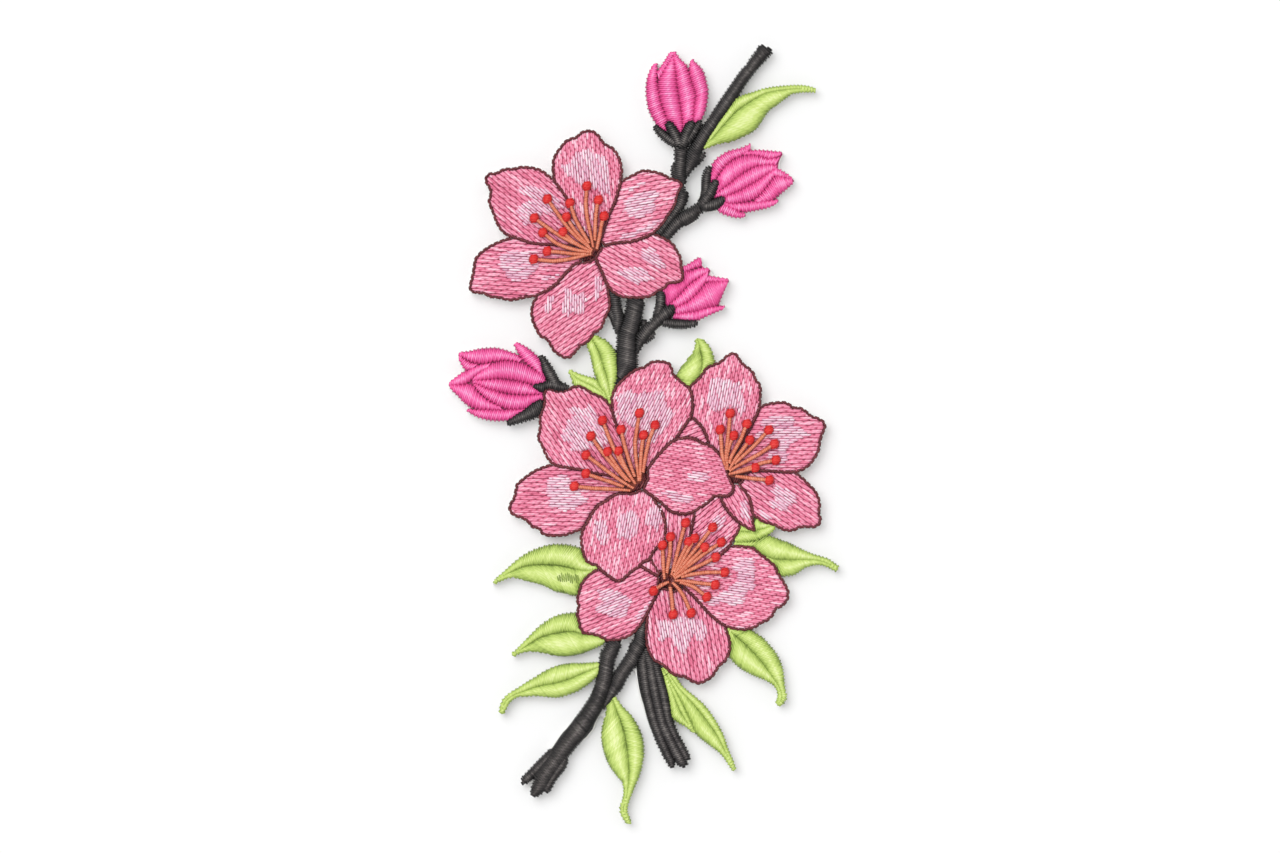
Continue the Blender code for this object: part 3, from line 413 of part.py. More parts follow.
def meet(first, second):
    a, b = boxed(first), boxed(second)
    return a[0] < b[2] and b[0] < a[2] and a[1] < b[3] and b[1] < a[3]


def grid_points(keep, lines):
    """Points on a staggered grid that stay clear of every line."""
    x0, y0, x1, y1 = boxed([p for points in keep for p in points])
    found, row, y = [], 0, y0 + GRID / 2
    while y < y1:
        x = x0 + (GRID / 2 if row % 2 else GRID / 4)
        while x < x1:
            if all(to_line(x, y, a, b) > 0.5 for a, b in lines):
                found.append((x, y))
            x += GRID
        y += GRID * 0.85
        row += 1
    return found


def groups(triangles):
    """The triangles' numbers in sets joined edge to edge, the widest set first."""
    by_edge = {}
    for i, tri in enumerate(triangles):
        for k in range(3):
            by_edge.setdefault(frozenset((tri[k], tri[k - 1])), []).append(i)
    left, found = set(range(len(triangles))), []
    while left:
        stack, group = [left.pop()], []
        while stack:
            i = stack.pop()
            group.append(i)
            for k in range(3):
                for j in by_edge[frozenset((triangles[i][k], triangles[i][k - 1]))]:
                    if j in left:
                        left.remove(j)
                        stack.append(j)
        found.append(group)
    return found


def area(points, triangles):
    total = 0.0
    for a, b, c in triangles:
        (ax, ay), (bx, by), (cx, cy) = points[a], points[b], points[c]
        total += abs((bx - ax) * (cy - ay) - (cx - ax) * (by - ay)) / 2
    return total


def one_piece(points, triangles):
    """The widest joined set, with nothing that hangs on by a single corner."""
    while True:
        sets = [[triangles[i] for i in group] for group in groups(triangles)]
        triangles = max(sets, key=lambda group: area(points, group))
        starts = [a for a, _ in edges_of(triangles)]
        pinched = {a for a in starts if starts.count(a) > 1}
        if not pinched:
            return triangles
        corner = min(pinched)
        fan = [tri for tri in triangles if corner in tri]
        rest = [tri for tri in triangles if corner not in tri]
        # Triangles round the corner hang together only across an edge that ends at it.
        parts, left = [], list(range(len(fan)))
        while left:
            part = [left.pop()]
            grew = True
            while grew:
                grew = False
                for j in list(left):
                    others = set(fan[j]) - {corner}
                    if any(others & (set(fan[i]) - {corner}) for i in part):
                        part.append(j)
                        left.remove(j)
                        grew = True
            parts.append([fan[i] for i in part])
        triangles = rest + max(parts, key=lambda part: area(points, part))


def patch(keep, cut=(), folds=(), ridges=(), domed=True, fill=0.0):
    """Triangles over the kept loops less the cut ones, holes under the fill area closed: (points, triangles)."""
    cut = [points for points in cut if any(meet(points, own) for own in keep)]
    points, faces, edges = [], [], []
    for ring in list(keep) + cut:
        faces.append(list(range(len(points), len(points) + len(ring))))
        points += ring
    for line in list(folds) + list(ridges):
        edges += [(len(points) + i, len(points) + i + 1) for i in range(len(line) - 1)]
        points += line
    if domed:
        lines = [side for ring in list(keep) + cut for side in sides(ring)]
        lines += [pair for line in list(folds) + list(ridges) for pair in zip(line, line[1:])]
        points += grid_points(keep, lines)
    made = delaunay_2d_cdt([Vector(p) for p in points], edges, faces, 0, 0.01)
    spots = [(v[0], v[1]) for v in made[0]]
    kept, spare = [], []
    for tri, owners in zip(made[2], made[5]):
        inside = any(o < len(keep) for o in owners) and all(o < len(keep) for o in owners)
        (kept if inside else spare).append(list(tri))
    hull = {i for edge in edges_of([list(tri) for tri in made[2]]) for i in edge}
    for group in groups(spare) if fill else []:
        hole = [spare[i] for i in group]
        if area(spots, hole) < fill and not any(i in hull for tri in hole for i in tri):
            kept += hole
    return spots, one_piece(spots, kept)


def edges_of(triangles):
    """The outer edges, each in the direction its triangle runs."""
    runs = {(tri[k - 1], tri[k]) for tri in triangles for k in range(3)}
    return [(a, b) for a, b in runs if (b, a) not in runs]


def slab(name, kind, points, triangles, low, height):
    """One closed body: flat underneath at low, and height(x, y, d) on top, d from the outer edge."""
    used = sorted({i for tri in triangles for i in tri})
    number = {i: n for n, i in enumerate(used)}
    rim = edges_of(triangles)
    lines = [(points[a], points[b]) for a, b in rim]
    top, floor = [], []
    for i in used:
        x, y = points[i]
        d = min(to_line(x, y, a, b) for a, b in lines)
        top.append(((x - CENTRE[0]) / 1000, (y - CENTRE[1]) / 1000, height(x, y, d) / 1000))
        floor.append((top[-1][0], top[-1][1], low / 1000))
    count = len(used)
    faces = [tuple(number[i] for i in tri) for tri in triangles]
    faces += [tuple(number[i] + count for i in reversed(tri)) for tri in triangles]
    faces += [(number[b], number[a], number[a] + count, number[b] + count) for a, b in rim]
    mesh = bpy.data.meshes.new(name)
    mesh.from_pydata(top + floor, [], faces)
    mesh.update()
    obj = bpy.data.objects.new(name, mesh)
    bpy.context.scene.collection.objects.link(obj)
    material = bpy.data.materials.new(name)
    material.use_nodes = True
    shader = material.node_tree.nodes["Principled BSDF"]
    shader.inputs["Base Color"].default_value = (*COLOURS[kind], 1.0)
    shader.inputs["Roughness"].default_value = 0.6
    mesh.materials.append(material)
    return obj


def dome(kind, folds=()):
    edge, crest, reach = DOME[kind]
    lines = [pair for line in folds for pair in zip(line, line[1:])]

    def height(x, y, d):
        for a, b in lines:
            d = min(d, to_line(x, y, a, b) + 0.05)
        return edge + (crest - edge) * math.sqrt(1 - (1 - min(d / reach, 1.0)) ** 2)

    return height


def column(line, width):
    """The outline of a satin column of this width along a line."""
    left, right = [], []
    for i, (x, y) in enumerate(line):
        a, b = line[max(i - 1, 0)], line[min(i + 1, len(line) - 1)]
        length = math.hypot(b[0] - a[0], b[1] - a[1])
        nx, ny = (a[1] - b[1]) / length * width / 2, (b[0] - a[0]) / length * width / 2
        left.append((x + nx, y + ny))
        right.append((x - nx, y - ny))
    return wound(left + right[::-1])


def anther(x, y):
    return [(x + ANTHER_RX * math.cos(a * math.pi / 5), y + ANTHER_RY * math.sin(a * math.pi / 5)) for a in range(10)]


def leaf_outline(rails):
    first, _, last = (loop(text) for text in rails)
    return wound(first + last[::-1])


# Every piece's outline, the upper ones first: a piece gives way to those before it.
PIECES = [("petal_" + name, "petal", wound(loop(text)), []) for name, text in PETALS.items()]
PIECES += [(name, "calyx", wound(loop(text)), []) for name, text in CALYXES.items()]
PIECES += [(name, "bud", wound(loop(text)), [loop(line) for line in CREASES.get(name, [])])
           for name, text in BUDS.items()]
PIECES += [(name, "branch", wound(loop(text)), [loop(line) for line in CREASES.get(name, [])])
           for name, text in BRANCHES.items()]
PIECES += [(name, "leaf", leaf_outline(rails), [loop(rails[1])[1:-1]]) for name, rails in LEAVES.items()]
PIECES += [("throat_" + name, "throat", wound(loop(text)), []) for name, text in THROATS.items()]

sheet = [spread(outline, BACKING_RIM) for _, _, outline, _ in PIECES]
sheet_points, sheet_triangles = patch(sheet, domed=False, fill=HOLE)
box = boxed([sheet_points[i] for tri in sheet_triangles for i in tri])
CENTRE = ((box[0] + box[2]) / 2, (box[1] + box[3]) / 2)
slab("backing", "backing", sheet_points, sheet_triangles, 0.0, lambda x, y, d: BACKING_THICK)

above = []
for name, kind, outline, folds in PIECES:
    piece_points, piece_triangles = patch([outline], above, folds)
    slab(name, kind, piece_points, piece_triangles, SEAT, dome(kind, folds))
    above.append(spread(outline, GAP))


def stamen_height(x, y, d):
    rise = 0.5 * math.sqrt(1 - (1 - min(d / (FILAMENT / 2), 1.0)) ** 2)
    return STAMEN_SEAT + 0.15 + rise + 0.35 * min(1.0, max(0.0, (d - FILAMENT / 2) / 0.5))


for name, texts in STAMENS.items():
    threads = [loop(text) for text in texts]
    shapes = [column(line, FILAMENT) for line in threads] + [anther(*line[0]) for line in threads]
    piece_points, piece_triangles = patch(shapes, ridges=threads, domed=False)
    slab("stamens_" + name, "stamens", piece_points, piece_triangles, STAMEN_SEAT, stamen_height)
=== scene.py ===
"""Looks of the embroidered cherry blossom sprig: every stitch is a closed tube of thread over its CAD pad.

Sizes are in millimetres, and listed points are in the motif's own coordinates. MOVE turns them into the
frame's.
"""

import json
import math

import bpy
import numpy as np
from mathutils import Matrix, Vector, noise

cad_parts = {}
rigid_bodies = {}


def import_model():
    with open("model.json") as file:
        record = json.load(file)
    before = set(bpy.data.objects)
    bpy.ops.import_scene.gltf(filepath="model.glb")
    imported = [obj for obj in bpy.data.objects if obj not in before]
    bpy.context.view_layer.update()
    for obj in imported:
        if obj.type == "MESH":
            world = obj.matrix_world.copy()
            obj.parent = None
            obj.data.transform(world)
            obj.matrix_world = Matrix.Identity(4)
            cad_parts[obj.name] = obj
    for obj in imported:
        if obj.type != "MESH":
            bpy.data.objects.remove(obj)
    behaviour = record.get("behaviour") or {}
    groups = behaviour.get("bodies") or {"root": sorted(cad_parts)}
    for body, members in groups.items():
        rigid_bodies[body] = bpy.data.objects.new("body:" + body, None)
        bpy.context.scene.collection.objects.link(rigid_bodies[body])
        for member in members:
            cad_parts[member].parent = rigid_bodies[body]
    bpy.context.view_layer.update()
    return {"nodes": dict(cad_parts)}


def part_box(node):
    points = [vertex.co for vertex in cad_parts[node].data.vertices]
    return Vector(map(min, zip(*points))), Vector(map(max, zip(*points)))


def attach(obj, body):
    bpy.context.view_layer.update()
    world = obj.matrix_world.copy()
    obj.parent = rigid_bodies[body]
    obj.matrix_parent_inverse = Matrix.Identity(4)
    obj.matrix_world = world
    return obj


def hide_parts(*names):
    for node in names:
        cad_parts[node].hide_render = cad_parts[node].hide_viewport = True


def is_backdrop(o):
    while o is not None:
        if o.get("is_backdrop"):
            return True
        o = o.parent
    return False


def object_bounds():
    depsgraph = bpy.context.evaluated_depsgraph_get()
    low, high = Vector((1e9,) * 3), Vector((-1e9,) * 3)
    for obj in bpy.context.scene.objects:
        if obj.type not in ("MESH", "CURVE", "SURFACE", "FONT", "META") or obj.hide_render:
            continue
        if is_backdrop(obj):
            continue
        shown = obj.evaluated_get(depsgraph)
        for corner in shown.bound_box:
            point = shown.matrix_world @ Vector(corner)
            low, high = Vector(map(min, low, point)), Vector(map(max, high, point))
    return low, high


for old in list(bpy.data.objects):
    bpy.data.objects.remove(old)

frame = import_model()
SEED = 7
rng = np.random.default_rng(SEED)
noise.seed_set(SEED)  # without it noise_vector follows the clock

# Where the motif's own zero lies in the frame, from two points that no piece covers.
BUD_TIP_X, TWIG_TOP_Y = -38.8, 77.5
MOVE = np.array([
    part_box("bud_left")[0].x * 1000 - BUD_TIP_X,
    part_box("branch_upper")[1].y * 1000 - TWIG_TOP_Y,
])

# The thread's form.
SIDES = 6  # facets round a thread
FACETS = (3, 4, 2, 5, 0, 1)  # the upper ones last, so that they lie over the others in the flat map
SQUASH = 0.66  # height of a thread's section over its width
TAPER = 0.7  # radius at a stitch's ends over the rest
TWIST = 0.95  # length of one turn of a thread's plies
GROOVE_PAINTED_SHADE = 0.22  # painted shade: how much darker a thread is on the side by a deeper groove
PLY_PAINTED_SHEEN = 0.07  # painted highlight and shade along the plies' twist: how much lighter and darker it makes the thread

# Radii of the threads.
BORDER_THREAD, SATIN_THREAD, PATCH_THREAD, FILAMENT_THREAD, ANTHER_THREAD = 0.245, 0.215, 0.16, 0.19, 0.2
BACK_THREAD = 0.11

# Heights at which each kind of stitching starts, and how far it rises from there.
SEAT = 1.3  # underside of the stitched pads
PAD_SINK, PAD_SHARE = 0.02, 0.45  # the padding shown starts this much lower and is this share as high
BORDER_LOW, FILAMENT_LOW, FILAMENT_RISE, ANTHER_LOW, ANTHER_RISE = 1.98, 2.14, 0.5, 2.15, 0.9
LEAF_LOW, LEAF_RISE, BUD_LOW, BUD_RISE = 1.5, 0.78, 1.52, 0.85
BRANCH_LOW, CALYX_LOW, DARK_RISE, DARK_STEP = 1.5, 1.72, 0.72, 0.08
PATCH_LOW, PATCH_RISE = 2.36, 0.08

# Filling. reach is how far in from the edge it still rises, the glint how much brighter one stitch in eight
# is, a painted highlight, and ragged how far a row's ends stray.
PETAL = {"row_step": 0.425, "low": 1.72, "rise": 0.28, "reach": 2.4, "radius": 0.26}
EVEN = {"pair": 0.015, "stitch": 2.1, "painted_glint": 0.3}
COARSE = {"pair": 0.035, "stitch": 3.1, "painted_glint": 0.16}
PALER = PETAL | {"row_step": 0.5, "low": 1.96, "radius": 0.225, "stitch": 2.6, "painted_glint": 0.15, "ragged": 0.35}
THROAT = {"row_step": 0.4, "low": 1.62, "rise": 0.2, "reach": 1.0, "radius": 0.2, "stitch": 2.2}
BRICK = 0.382  # share of a stitch by which each row is shifted from the last
LEAST_RUN, LEAST_CUT = 0.5, 0.7  # shortest span that is stitched, and shortest stitch at its ends
BACK_ROW, BACK_STITCH, BACK_STEP = 0.85, 1.5, 1.55  # row to row, a stitch's length, and stitch to stitch

# Borders: from stitch to stitch, their length, how far they cross the line, and the least gap of two lines.
BORDER_STEP, BORDER_STITCH, BORDER_CROSS, BORDER_GAP = 0.62, 1.5, 0.19, 0.42

# Satin.
SATIN_PITCH, LEAF_PITCH, FILAMENT_PITCH = 0.4, 0.35, 0.33
SATIN_POINTS, SATIN_REACH = 9, 1.7  # points along a stitch, and how far in from its ends it is still rising
LEAF_SLANT, DARK_SLANT = 28, -12  # degrees off square
BUD_SLANT = -0.5  # how far along its rail a stitch ends from where it starts
LEAF_MOST = 6.0  # longest reach from a rib
TEETH = 0.2  # how far every other stitch stands out at the edge
SEAM, DARK_SEAM = 0.12, 0.22  # how far satin reaches past its pad
LAP = 0.14  # how far the two lobes of a leaf cross its rib
TIP_WIDTH = 1.7  # a leaf narrower than this is one column
LEAST_SATIN = 0.35  # shortest stitch of a bud or a branch
BACK = {"leaf": [], "bud": [], "dark": []}  # ends of the satin stitches, which show on the back

# Direction in which each petal's filling runs, in degrees.
FILLS = {
    "b_right": -8, "b_bottom": 80, "b_upper_left": -55, "b_top": 65, "b_left": -1,
    "c_top": 80, "c_left": 20, "c_right": 0, "c_lower_right": -35, "c_small": -60,
    "a_top": 95, "a_upper_left": -40, "a_upper_right": 10, "a_left": -3, "a_right": -30, "a_bottom": 35,
    "d_upper_left": 88, "d_upper_right": 40, "d_right": -7, "d_lower_left": 22, "d_bottom": -80,
}
# Petals filled with shorter, more even stitches.
FINE = {"b_right", "b_bottom", "b_top", "a_top", "c_top", "d_right"}
# Paler stitches laid over the filling: closed outlines, with a / between them.
PALE = {
    "a_top": """-13.8,56 -11,57 -9.3,56.2 -7.6,55.5 -6.6,53 -6.8,50.5 -6.3,48 -8,47.8 -9.2,49
    -12.6,49.5 -14,51 -15.5,52 -16.5,53.5 -15,54 -14.3,55""",
    "a_upper_left": """-25.4,49 -22.5,49.6 -20.5,49.3 -18.3,48.6 -16.8,47.2 -15.8,45.3 -17.5,44.5
    -20,44 -22,42.5 -23.3,41.6 -24.5,42.8 -25.4,44.5 -25.2,45.8 -23.8,46.3 -22,46.9 -24,48""",
    "a_left": """-28.5,36.2 -26,36.8 -22.8,36.4 -22.2,34.8 -20.8,34.1 -21.2,32.8 -22.3,32.4 -22.7,31
    -24.8,30.6 -26.8,31 -27.2,32 -28.4,33 -28.8,34 / -19.5,30.8 -16.5,31.9 -18.6,31.9 -21,30.8""",
    "a_bottom": """-15.5,29.3 -14.2,28.5 -13,28 -12,28.6 -11.4,27 -11.6,25 -12.3,23.7 -13.8,24.4
    -15,23.6 -16.2,24.5 -16.1,26 -15.7,27.5 / -18.8,27.8 -17.6,28.2 -18,26 -18.6,24 -19.3,24
    -19.6,25.6 / -9.9,31.5 -8.6,32 -8.2,30 -8.6,28 -9.2,26.6 -9.9,27.2""",
    "a_right": """-0.6,37.1 1.9,37.4 3.4,35.4 4.6,33.4 3.4,32.9 1.6,33.8 -0.1,34.9 / -2.6,33.6
    0.4,33.1 2.2,31.1 0.4,30.5 -1.3,29.6 -3.2,30.8 -5.3,32.4""",
    "a_upper_right": """-3.8,46.8 -1.5,48 0.5,48.5 2.5,48.8 3.5,48 2.2,46.2 2.5,45 1.2,44 -1,43.2
    -2.5,43.6 -3.8,45 / 0.5,51 -1,50 -3,49.3 -2.6,48.6 -0.8,49.4 0.6,50.2 / -5,39 -2,39.6 1,40.6
    3,42.2 3.7,43 2.4,42.7 0.5,41.6 -2,40.6 -4.5,39.9""",
    "b_upper_left": """-15.4,5.2 -14.2,5.8 -12.5,5.3 -10.7,5.9 -9,3.5 -7.8,1 -6.6,-1.5 -8,-2.3 -10,-2
    -11.8,-3.5 -13,-3.2 -14.8,-3.6 -14.4,-2 -16.6,-0.8 -16,1 -15,2.8 -13.7,4""",
    "b_top": """-5.6,7.5 -3,9 -1,8.3 1.5,8.6 4.2,9 4.6,6.2 6,4.7 5.6,2.8 3.8,0.5 2.5,-1.2 0.8,-2.2
    -0.4,1 -3.8,2.2 -4.8,4""",
    "b_left": """-19.2,-8.8 -17,-8.2 -14.8,-8.3 -14.3,-9.6 -13.2,-11 -12,-12 -10.7,-13.2 -12.3,-14.1
    -14,-15.1 -16,-15.5 -17,-14.6 -19,-14.5 -18.6,-13 -19.5,-11.5 -19,-10.2""",
    "b_right": """8.5,-8 10,-7.3 12.5,-7.5 13.5,-8.5 12,-9.5 9,-9.2 / 3.5,-11.5 5.5,-11 8,-12
    10.5,-12.4 9.5,-13.6 6,-13.2""",
    "b_bottom": """-9.6,-17.2 -7.4,-16.8 -6.9,-18.6 -7,-20.6 -8,-22.3 -8.9,-20.8 -9.8,-19.6 /
    -5.2,-16.2 -3.6,-15.4 -1.6,-15.2 -0.7,-16.4 -0.8,-18.6 -1.4,-20.2 -2.6,-21.2 -3.8,-20.4 -5,-21.2
    -5.3,-18.6 / 0.4,-15.6 1.6,-14.2 3.2,-13.9 3.8,-15.6 3.7,-17.6 2.7,-19.4 1.6,-18.3 0.6,-18.6
    0.2,-17""",
    "c_top": """13.2,11 14.8,11.5 17,10.8 19.3,10.6 20,8 20.6,5.5 19.5,3.5 19,5 17.6,5.7 15.8,5 14,4.5
    12.8,6 12.9,8.5""",
    "c_right": """23.8,3.2 26.5,3.6 30,3.9 30.1,1.6 32.1,1.3 33.4,-0.2 31,-0.9 30,-1.7 28.7,-3 29,-4.6
    28.6,-5.9 26,-6 24.8,-5.2 25,-3.4 27,-3 27,-1 24.5,-1 22.8,-1 22,-0.3 24,1 23.4,2""",
    "c_lower_right": """26.5,-10 28.5,-10.7 30.7,-12 30.9,-13.5 29.5,-14.3 27.8,-15.2 25.8,-14.6
    25,-13.2 26.4,-12.6 25.4,-11.2 / 22.8,-14.8 25,-15.8 26,-17.2 24,-16.6""",
    "c_small": "19.4,-12.9 20.6,-13.4 21.2,-15 21.2,-17.3 20,-16.8 19.2,-15",
    "d_lower_left": """-9,-31.2 -7.2,-30.7 -5.5,-31.3 -4.5,-31.5 -2,-33.2 -2.5,-34.2 -3.2,-35.3
    -2.6,-36 -3.8,-36.6 -6,-36.8 -7.2,-35.9 -9.8,-35.4 -9.5,-34.2 -8,-33.6 -9,-32.5 / -1.6,-36.3
    0,-34.5 1.6,-33.3 0.3,-35.8 -0.8,-36.9""",
    "d_bottom": """3,-37 4.3,-37.2 5.6,-37.2 7.5,-36.2 9,-36.6 11.5,-36.6 12.6,-38 12.8,-39.8
    11.8,-41.5 10.9,-41.2 10,-39.8 9.6,-41.5 8.2,-43.6 7.2,-43.4 6.2,-42 5.6,-40.6 4.8,-40 4.1,-41.6
    3.2,-41.4 3,-39""",
    "d_right": """17.8,-26 19,-25.5 20.3,-24.3 22,-24.7 22.4,-26.5 22,-28.4 22.6,-30.5 20.6,-31.5
    20.2,-33.6 18,-34.4 16,-33.5 14,-34.3 12.6,-33.7 13.5,-32.6 16,-31.4 18.3,-29.5 19,-27.5 17.5,-27""",
    "d_upper_right": """13.8,-17 15,-16.2 16.3,-16.6 16.2,-18 15,-19.2 13.8,-20 12.9,-20.2 /
    14.2,-22.5 15.5,-22.3 17,-22 16.3,-23 15.2,-23.8 14.3,-23.3""",
}
PALE_TURN = {"a_bottom": 90}  # where the paler stitches run another way than the filling
# Border stitches that no petal's own edge gives.
LOOSE_BORDERS = "1.4,-24.6 2.3,-26.2 3.2,-27.7 / -0.5,-26.2 1.2,-27.2 3,-28.3"
# Each stamen runs from its anther's centre down its filament to the throat.
STAMENS = {
    "a": """-11.2,49.6 -11.45,46 -11.2,43.5 -10.7,41 -10.2,38.8 -9.9,37 / -8.9,46.8 -9.3,45 -9.5,42.5
    -9.6,39.5 -9.6,37 / -7.8,43.6 -8.3,42 -8.6,40 -9,38.2 -9.3,36.7 / -14.6,46.2 -13.6,43.2 -12.4,40.9
    -11,38.6 -9.9,36.7 / -19.1,47 -16.7,43.6 -14.8,41 -13.1,39.2 -11.2,37.7 -9.9,36.6 / -15.3,43.4
    -13.8,41 -12.3,39.2 -10.8,37.6 -9.9,36.5 / -21.7,43.2 -18.5,40.9 -16.3,39.5 -14,38.3 -12,37.3
    -9.9,36.4 / -16,40.4 -14.2,38.7 -12.5,37.6 -10,36.4 / -20,40.3 -17.4,38.2 -15.5,37.4 -13.3,36.8
    -10,36.3 / -19.1,36.6 -16.2,36.35 -14,36.05 -12,36 -10,36.1 / -21.8,35 -18,34.6 -15.3,34.9
    -13,35.4 -11.2,35.9 -10,36.1""",
    "b": """-0.7,4.3 -1.2,1.2 -1.6,-1.5 -1.5,-4 -1.2,-6.5 -0.8,-9.6 / 2.4,1.9 1.3,-0.8 0.7,-3.2
    0.25,-5.8 -0.3,-9.6 / 0.1,-0.1 -0.3,-3 -0.5,-6 -0.6,-9.6 / -4.4,1 -3.8,-1.8 -3,-4.5 -2.2,-7 -1,-10
    / -8.1,2.8 -6.9,-0.3 -5.9,-2.7 -4.4,-5.6 -2.8,-8 -1.3,-10.2 / -10.4,-0.3 -8.4,-3.2 -6.8,-5.2
    -5,-7.3 -3.2,-9.2 -1.6,-10.5 / -4.9,-3.3 -3.7,-6.2 -2.6,-8.2 -1.3,-10.2 / -7.1,-3.4 -5.3,-6.2
    -3.8,-8.2 -1.6,-10.4 / -11.4,-4.1 -8.8,-6 -7,-7.4 -4.9,-8.9 -3,-10.1 -1.6,-10.9 / -11.4,-7.8
    -8.5,-8.8 -6.3,-9.5 -4.2,-10.3 -2.2,-11 / -13.7,-10.3 -10,-10.75 -7,-10.85 -4.5,-11 -2.2,-11.2""",
    "c": """15.4,1 15.65,-1.8 15.75,-3.8 16.2,-5.6 16.8,-7.4 / 17.4,4.2 17.1,0.8 16.8,-2 16.5,-4.4
    16.8,-7.4 / 18.1,-0.2 17.2,-2.2 16.7,-4.5 16.9,-7.4 / 20.7,2.1 19.6,-0.8 18.6,-2.6 17.5,-4.6
    16.9,-7.4 / 21.3,-1.1 19.6,-3.4 18.4,-4.9 17,-7.4 / 25.1,0.9 22.5,-1.9 20.6,-3.7 18.7,-5.4 17,-7.4
    / 26.2,-1.9 23,-4 20.8,-5.2 18.6,-6.4 17,-7.5 / 26.5,-5.1 23.6,-5.7 21.5,-6.5 19.4,-7.2 17.1,-7.8
    / 22.4,-6.6 20.2,-7.2 18.4,-7.6 17.1,-7.9 / 25.2,-9.1 22,-8.8 20,-8.5 18.4,-8.3 17.1,-8.1""",
    "d": """3.9,-22.1 4,-24.5 4.1,-26.8 4.3,-29.2 / 5.5,-20.4 5.4,-23.5 4.9,-26.5 4.6,-29 / 8.5,-17.6
    7.4,-21.5 6.5,-25 5.6,-28.4 / 9.1,-21.4 7.6,-24.4 6.4,-27 5.6,-28.6 / 10.3,-20.7 8.4,-24.2 7,-26.8
    5.8,-28.6 / 13.9,-18.5 11.2,-22 9.3,-24.3 7.3,-26.8 5.8,-28.6 / 12.3,-22.5 9.8,-24.9 7.8,-26.9
    5.9,-28.7 / 15.6,-21.5 12.6,-23.5 10,-25.5 7.6,-27.4 5.9,-28.8 / 14.5,-24.5 11.6,-26 9,-27.2
    6,-28.9 / 16.3,-27.5 12.6,-27.5 9.6,-27.9 6,-28.9 / 14.4,-30 10.8,-29.6 8.2,-29.2 6,-29.1 /
    12.7,-32.4 10.2,-30.4 8,-29.6 6,-29.3 / 2.1,-31.2 3.4,-30.2 5.2,-29.4 / 6,-35.9 5.8,-33.2 5.5,-31
    5.3,-29.4 / 9.6,-35.6 8.2,-32.4 7,-30.6 5.6,-29.3""",
}
# The rib of each leaf, from which a satin lobe spreads to each side.
RIBS = {
    "leaf_01": """11.8,57.1 13,58.3 14.4,59.9 15.7,61.4 17.1,63 18.5,64.5 20.2,65.7 22,66.9 24,68
    26,68.5 28,68.8 30,69 31.5,69.05 33,68.95 34.1,68.8""",
    "leaf_02": "10.9,19.1 11.3,17.6 11.7,16.2 11.9,14.8 11.9,13.4 11.5,12.2 10.8,11 10,10 9.3,9.3",
    "leaf_03": """-10.5,19.6 -9.5,17.8 -8.8,16.5 -8.3,15 -7.9,13.6 -7.4,12.2 -7,10.8 -6.7,9.4 -6.6,8
    -6.6,6.3""",
    "leaf_04": """-14.6,12.75 -13.6,11.5 -12.4,10.75 -11.2,10.2 -10,9.6 -8.9,8.9 -7.9,8.2 -7.2,7.3
    -6.6,6.2""",
    "leaf_05": """-29.8,-29.5 -28.5,-28.6 -27.2,-27.9 -25.5,-27 -24,-26.4 -22.5,-26.1 -21,-26 -19,-26
    -17,-26.1 -15,-26.5 -13.5,-26.9 -12,-27.15 -10.5,-27.2 -9,-26.4""",
    "leaf_06": """-26,-44 -24.5,-43 -23,-42 -21.5,-41 -20,-40.3 -18.5,-39.9 -17,-39.6 -15.5,-39.4
    -14,-39.3 -12.2,-39.6 -10.5,-40 -9,-40.4""",
    "leaf_07": """-28.2,-55.7 -27.95,-54.3 -27.4,-53.2 -26.4,-52.3 -25,-51.7 -23.5,-51.2 -22,-50.6
    -20.5,-50.2 -19,-49.9 -17.5,-49.7 -16,-49.3 -14.5,-48.8 -13,-48.1 -11.5,-47.5 -10,-46.9 -8.4,-46.3""",
    "leaf_08": """-6.1,-52.4 -5.7,-53.8 -5.1,-55.5 -4.5,-57 -4,-58.5 -3.6,-60 -3.3,-61.5 -3.1,-63
    -2.9,-64.5 -2.8,-66 -2.75,-67.5 -2.8,-69 -3,-70.5 -3.15,-72 -3.55,-73.3 -3.9,-74.4 -3.85,-75.5
    -3.4,-76.5 -2.9,-77.6""",
    "leaf_09": "3.5,-46.1 4.3,-47.8 5.1,-49.5 5.8,-51.2 6.5,-53 7.2,-54.7 8,-56.2 8.9,-57.7 10.1,-59.4",
    "leaf_10": """4.2,-46.4 5.1,-47.6 6.1,-49.1 7.1,-50.6 8.2,-51.8 9.4,-53 10.6,-54.4 11.8,-55.8
    13,-57.4 14.1,-58.9 15,-60.4 15.8,-62 16.6,-63.6 17.4,-65.1 18.2,-66.9""",
    "leaf_11": """16.4,-38.3 17.5,-39.3 18.7,-40.4 20,-41.5 21.2,-42.6 22.3,-43.8 23.3,-44.9
    24.2,-46.1 25.1,-47.3 26,-48.5 26.8,-49.7 27.5,-51 27.8,-52.3 27.6,-53.2 26.9,-53.8""",
    "leaf_12": """18.3,-21.8 20.5,-22.3 23,-23.6 25.5,-24.8 27,-24.95 28.5,-25 30,-25 31.5,-25 33,-25
    34.5,-25.05 36,-25.35 37.2,-25.9 38.8,-26.8""",
    "leaf_13": "18.7,-19.3 20.4,-19.35 22.2,-19.2 24,-18.8 25.2,-18.4 26.4,-18.2",
}
